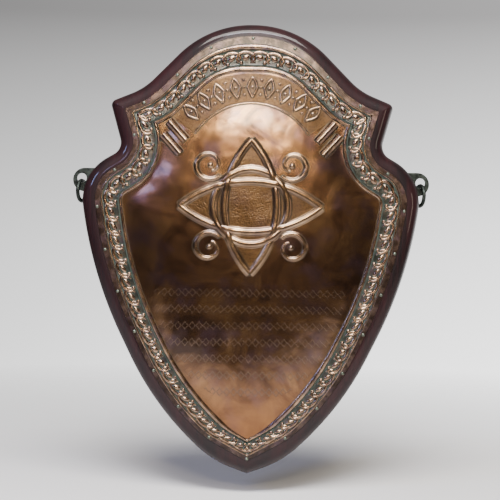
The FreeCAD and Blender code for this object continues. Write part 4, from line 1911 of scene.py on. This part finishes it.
@dataclass
class Riband:
    """Riband across the top of the field: lower line, plain frieze and two rolls at each end."""

    sizes: ShieldSizes
    sheet: CopperSheet
    width: float = 29.5
    half_angle: float = 57.0
    root: float = 0.15
    line_section: StrapSection = StrapSection(2.6, 1.7, 0.6, steps=7)
    line_points: int = 90
    units: int = 9
    frieze_half_angle: float = 52.0
    lozenge_section: StrapSection = StrapSection(3.1, 2.0, 0.6, steps=6)
    lozenge_height: float = 20.0
    lozenge_width: float = 9.6
    lozenge_points: int = 28
    lozenge_bulge: float = 0.7
    inner_pellet: RoundBoss = RoundBoss(2.1, 1.6)
    outer_pellet: RoundBoss = RoundBoss(1.8, 1.4)
    pellet_pitch: float = 7.4
    roll_radius: float = 4.9
    roll_height: float = 4.4
    roll_gap: float = 0.1
    roll_length: float = 25.0
    roll_pitch: float = 14.2
    roll_slope: float = 48.0
    roll_gap_angle: float = 5.0
    roll_sides: int = 32
    roll_sharp_degrees: float = 35.0
    coil: tuple[CoilStep, ...] = (
        CoilStep(0.35, 0.3), CoilStep(0.75, 0.1), CoilStep(0.3, -1.1), CoilStep(0.6, 0.0),
        CoilStep(0.3, 1.0), CoilStep(0.7, 0.1), CoilStep(0.3, -1.0), CoilStep(0.5, 0.0))

    @property
    def radius(self) -> float:
        """Radius of the riband's upper edge."""
        return self.sizes.riband_radius

    @property
    def middle(self) -> float:
        """Radius of the riband's middle line."""
        return self.radius - self.width / 2

    @property
    def centre(self) -> Vector:
        """Centre that the riband's arcs are struck from."""
        return self.sizes.riband_centre

    def polar(self, radius: float, lean: float, height: float) -> Vector:
        """Place at a radius and a lean from upright, in degrees, towards the right."""
        angle = math.radians(lean)
        arm = Vector((math.sin(angle) * radius, math.cos(angle) * radius, height))
        return self.centre + arm

    def on_field(self, radius: float, lean: float) -> Vector:
        """Place of the relief's root in the field's surface."""
        place = self.polar(radius, lean, 0.0)
        rise = self.sheet.dome(np.array([place[:2]]))[0]
        place.z = self.sizes.ground + rise - self.root
        return place

    def build(self, line_finish: Material, roll_finish: Material) -> None:
        """Build the line, the frieze and the rolls.

        Args:
            line_finish: Copper finish of the line and the frieze.
            roll_finish: Copper finish of the rolls.
        """
        for name, bm in (("riband_line", self.line()), ("riband_lozenges", self.lozenges()),
                         ("riband_pellets", self.pellets())):
            piece_from(bm, name, line_finish)
        piece_from(self.rolls(), "riband_rolls", roll_finish,
                   self.roll_sharp_degrees)

    def line(self) -> BMesh:
        """Raised line along the riband's lower edge.

        Returns:
            The mesh.
        """
        radius = self.radius - self.width - self.line_section.width / 2
        leans = [self.half_angle * (2 * k / self.line_points - 1)
                 for k in range(self.line_points + 1)]
        strap = Strap([self.on_field(radius, lean) for lean in leans])
        return self.line_section.sweep([strap])

    def unit_leans(self) -> list[float]:
        """Lean of the middle of every unit of the frieze."""
        spread = 2 * self.frieze_half_angle / self.units
        return [-self.frieze_half_angle + spread * (k + 0.5) for k in range(self.units)]

    def lozenges(self) -> BMesh:
        """Raised outlines of upright lozenges with bulging sides along the riband.

        Returns:
            The mesh.
        """
        straps = []
        for lean in self.unit_leans():
            points = []
            for k in range(self.lozenge_points):
                angle = 2 * math.pi * k / self.lozenge_points
                out, over = math.cos(angle), math.sin(angle)
                reach = (abs(out) + abs(over)) ** -self.lozenge_bulge
                side = self.lozenge_width / 2 * over * reach
                points.append(self.on_field(self.middle + self.lozenge_height / 2 * out * reach,
                                            lean + math.degrees(side / self.middle)))
            straps.append(Strap(points, closed=True))
        return self.lozenge_section.sweep(straps)

    def pellets(self) -> BMesh:
        """One pellet inside every lozenge and three between neighbours.

        Returns:
            The mesh.
        """
        bm = bmesh.new()
        leans = self.unit_leans()
        for lean in leans:
            self.inner_pellet.add(bm, self.on_field(self.middle, lean))
        for first, second in zip(leans, leans[1:]):
            for count in (-1, 0, 1):
                radius = self.middle + count * self.pellet_pitch
                self.outer_pellet.add(bm, self.on_field(radius, (first + second) / 2))
        return bm

    def rolls(self) -> BMesh:
        """Two rolled-up ends on each side, as long round rods with coiled ends.

        Returns:
            The mesh.
        """
        bm = bmesh.new()
        height = self.sizes.front - self.roll_gap - self.roll_height
        for side in (RIGHT, LEFT):
            for count in (0, 1):
                lean = self.half_angle + self.roll_gap_angle
                lean += math.degrees(count * self.roll_pitch / self.middle)
                self.roll(bm, self.polar(self.middle, lean, height), side)
        return bm

    def roll(self, bm: BMesh, place: Vector, side: int) -> None:
        """Add one roll.

        Args:
            bm: Mesh that gets it.
            place: Middle of the roll on the right-hand side.
            side: RIGHT or LEFT.
        """
        made = bmesh.ops.create_cone(bm, cap_ends=True, segments=self.roll_sides,
                                     radius1=self.roll_radius, radius2=self.roll_radius,
                                     depth=self.roll_length)["verts"]
        caps = list({f for v in made for f in v.link_faces if len(f.verts) > 4})
        for step in self.coil:
            bmesh.ops.inset_region(bm, faces=caps, thickness=step.inwards, depth=step.outwards,
                                   use_even_offset=True)
        joined = self.island(list({v for f in caps for v in f.verts} | set(made)))
        laid = (Matrix.Translation(place)
                @ Matrix.Rotation(math.radians(self.roll_slope), 4, "Z")
                @ Matrix.Rotation(math.radians(90), 4, "Y")
                @ Matrix.Diagonal((self.roll_height / self.roll_radius, 1, 1, 1)))
        bmesh.ops.transform(bm, matrix=MIRRORED @ laid if side == LEFT else laid, verts=joined)

    @staticmethod
    def island(start: Sequence[BMVert]) -> list[BMVert]:
        """Every vertex that is joined to the given ones.

        Args:
            start: The given ones.

        Returns:
            All of them, with the given ones.
        """
        found = set(start)
        edge = list(start)
        while edge:
            vert = edge.pop()
            for link in vert.link_edges:
                other = link.other_vert(vert)
                if other not in found:
                    found.add(other)
                    edge.append(other)
        return list(found)


@dataclass
class EdgePins:
    """Round-headed pins along the sheet's edge."""

    sizes: ShieldSizes
    steps_per_side: int = 13
    inset: float = 2.2
    head: RoundBoss = RoundBoss(1.6, 0.9, 14, 8)
    shank: float = 1.1
    length: float = 9.0

    def build(self, finish: Material) -> None:
        """Build the pins.

        Args:
            finish: Their finish.
        """
        bm = bmesh.new()
        depth = self.length - self.sizes.sheet
        for place in self.places():
            seat = Vector((place.x, place.y, self.sizes.ground))
            self.head.add(bm, seat)
            down = Matrix.Translation(seat - Vector((0, 0, depth / 2)))
            size = Matrix.Diagonal((self.shank, self.shank, depth, 1))
            bmesh.ops.create_cube(bm, size=1, matrix=down @ size)
        pins = piece_from(bm, "edge_pin_heads", finish)
        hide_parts("edge_pins")

    def places(self) -> list[Vector]:
        """Evenly spaced places along the flange on both sides."""
        line = Course(self.sizes.sheet_outline.evenly_inset(self.inset).half())
        right = [line.at(line.length * k / self.steps_per_side)
                 for k in range(self.steps_per_side + 1)]
        return right + [Vector((-p.x, p.y)) for p in right[1:-1]]


@dataclass(frozen=True)
class Softbox:
    """Rectangular soft light: its middle and its size in metres, its power and its colour."""

    name: str
    place: tuple[float, float, float]
    width: float
    height: float
    watts: float
    colour: str

    def build(self, target: Vector) -> None:
        """Add the light, pointed at a target.

        Args:
            target: Where it points.
        """
        data = bpy.data.lights.new(self.name, "AREA")
        data.shape = "RECTANGLE"
        data.size = self.width
        data.size_y = self.height
        data.energy = self.watts
        data.color = srgb(self.colour)[:3]
        light = link_to_scene(self.name, data)
        place = Vector(self.place)
        aim = (target - place).to_track_quat("-Z", "Y").to_matrix().to_4x4()
        light.matrix_world = Matrix.Translation(place) @ aim


@dataclass
class Stage:
    """Pale floor, soft studio light and the camera, in metres."""

    camera_distance: float = 1.212
    camera_height: float = 0.0
    target_height: float = -0.00075
    picture_half_width: float = 0.2525
    roll_degrees: float = 0.9
    floor_gap: float = 0.02
    floor_radius: float = 2.2
    floor_sides: int = 96
    floor_colour: str = "#eeeeee"
    floor_places: tuple[float, float] = (0.14, 0.62)
    light_target: tuple[float, float, float] = (0.0, 0.0, 0.02)
    softboxes: tuple[Softbox, ...] = (
        Softbox("top_front", (0.0, -0.85, 1.15), 1.0, 0.5, 42, "#fffaf4"),
        Softbox("cream_card", (0.012, -1.2, 0.35), 0.2, 0.12, 5.0, "#ffecca"),
        Softbox("crown_card", (0.0, -1.15, 0.62), 0.3, 0.4, 3.2, "#fbf6f4"),
        Softbox("crown_strip", (0.0, -1.0, 0.92), 0.4, 0.07, 9.0, "#f2f2ff"),
        Softbox("lavender_card", (-0.42, -1.15, 0.33), 0.1, 0.1, 0.5, "#cfc4ff"),
        Softbox("left_glint", (-0.95, -0.65, 0.5), 0.15, 0.3, 4.5, "#a8bcff"),
        Softbox("right_glint", (1.0, -0.75, 0.1), 0.12, 0.4, 1.6, "#ffe9d2"))
    back_places: tuple[float, float] = (0.56, 0.86)
    wall_places: tuple[float, float, float] = (0.35, 0.50, 0.69)
    wall_colours: tuple[str, str, str] = ("#ececec", "#c4c4c4", "#686767")
    wall_slant: float = 1.2
    room_colour: str = "#312d2b"
    world_strength: float = 3.0

    def build(self) -> None:
        """Set the stage."""
        self.camera()
        self.floor()
        for softbox in self.softboxes:
            softbox.build(Vector(self.light_target))
        self.world()

    def camera(self) -> None:
        """Camera straight in front, rolled as the photograph is."""
        data = bpy.data.cameras.new("camera")
        data.angle = 2 * math.atan(self.picture_half_width / self.camera_distance)
        camera = link_to_scene("camera", data)
        place = Vector((0, -self.camera_distance, self.camera_height))
        tilt = math.atan2(self.target_height - self.camera_height, self.camera_distance)
        turn = Matrix.Rotation(math.radians(90) + tilt, 4, "X")
        roll = Matrix.Rotation(math.radians(self.roll_degrees), 4, "Z")
        camera.matrix_world = Matrix.Translation(place) @ turn @ roll
        bpy.context.scene.camera = camera

    def floor(self) -> None:
        """Round pale floor that fades out towards its edge."""
        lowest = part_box("backboard")[0].z - self.floor_gap
        bm = bmesh.new()
        bmesh.ops.create_circle(bm, cap_ends=True, segments=self.floor_sides,
                                radius=self.floor_radius,
                                matrix=Matrix.Translation((0, 0, lowest)))
        mesh = bpy.data.meshes.new("floor")
        bm.to_mesh(mesh)
        bm.free()
        mesh.materials.append(self.paper())
        link_to_scene("floor", mesh)

    def paper(self) -> Material:
        """Matt background paper: pale and even, and clear towards the floor's edge."""
        material, tree = fresh_material("pale_floor_paper")
        place = add_node(tree, "TexCoord").outputs["Object"]
        away = add_node(tree, "VectorMath", place, operation="LENGTH").outputs["Value"]
        share = add_node(tree, "Math", away, self.floor_radius, operation="DIVIDE")
        fade = add_node(tree, "ValToRGB", share, stops=zip(self.floor_places, (1.0, 0.0)))
        paper = add_node(tree, "BsdfPrincipled", Base_Color=srgb(self.floor_colour),
                         Roughness=0.8)
        clear = add_node(tree, "BsdfTransparent")
        mix = add_node(tree, "MixShader", fade, clear, paper)
        add_node(tree, "OutputMaterial", Surface=mix)
        return material

    def world(self) -> None:
        """Grey studio that is bright behind the shield and dim in front of it."""
        world = bpy.data.worlds.new("studio")
        world.use_nodes = True
        tree = world.node_tree
        tree.nodes.clear()
        way = add_node(tree, "TexCoord").outputs["Generated"]
        across, back, up = add_node(tree, "SeparateXYZ", way).outputs
        behind = add_node(tree, "Math", back, 0.5, 0.5, operation="MULTIPLY_ADD")
        behind = add_node(tree, "ValToRGB", behind, stops=zip(self.back_places, (0.0, 1.0)))
        height = add_node(tree, "Math", up, 0.5, operation="ADD")
        colours = [srgb(code) for code in self.wall_colours]
        wall = add_node(tree, "ValToRGB", height, stops=zip(self.wall_places, colours))
        slant = add_node(tree, "Math", across, self.wall_slant, 1.0, operation="MULTIPLY_ADD")
        wall = add_node(tree, "VectorMath", wall, operation="SCALE", Scale=slant)
        colour = add_node(tree, "Mix", behind, data_type="RGBA", B_Color=wall,
                          A_Color=srgb(self.room_colour)).outputs[MIXED_COLOUR]
        light = add_node(tree, "Background", Color=colour, Strength=self.world_strength)
        add_node(tree, "OutputWorld", Surface=light)
        bpy.context.scene.world = world


def dress_nodes(frame: dict[str, Any], shop: Workshop) -> None:
    """Give the frame's own pieces their finishes.

    Args:
        frame: Frame as it was loaded.
        shop: Finishes.
    """
    finishes = {"hanger": shop.iron, "ring": shop.iron, "hanger_screws": shop.screw_steel}
    for side in ("left", "right"):
        for part, finish in finishes.items():
            node = frame["nodes"][f"{side}_{part}"]
            node.data.materials.clear()
            node.data.materials.append(finish)
            LOG.info("%s_%s: %s", side, part, finish.name)


def main() -> None:
    """Build every piece, dress the frame's own and set the stage."""
    logging.basicConfig(level=logging.INFO, format="%(name)s %(message)s")
    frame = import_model()
    sizes = ShieldSizes()
    sheet = CopperSheet(sizes)
    knot = StrapKnot(sizes)
    riband = Riband(sizes, sheet)
    shop = Workshop(MattedGrounds(knot, riband))
    Backboard(sizes).build(shop.mahogany)
    sheet.build({SheetFinish.FIELD: shop.field_copper, SheetFinish.CHANNEL: shop.ground_copper,
                 SheetFinish.FLANGE: shop.flange_copper, SheetFinish.BEADS: shop.moulded_copper})
    BorderOrnament(sizes).build(shop.border_copper)
    knot.build(shop.relief_copper)
    riband.build(shop.relief_copper, shop.moulded_copper)
    EdgePins(sizes).build(shop.pin_metal)
    dress_nodes(frame, shop)
    Stage().build()


if __name__ == "__main__":
    main()
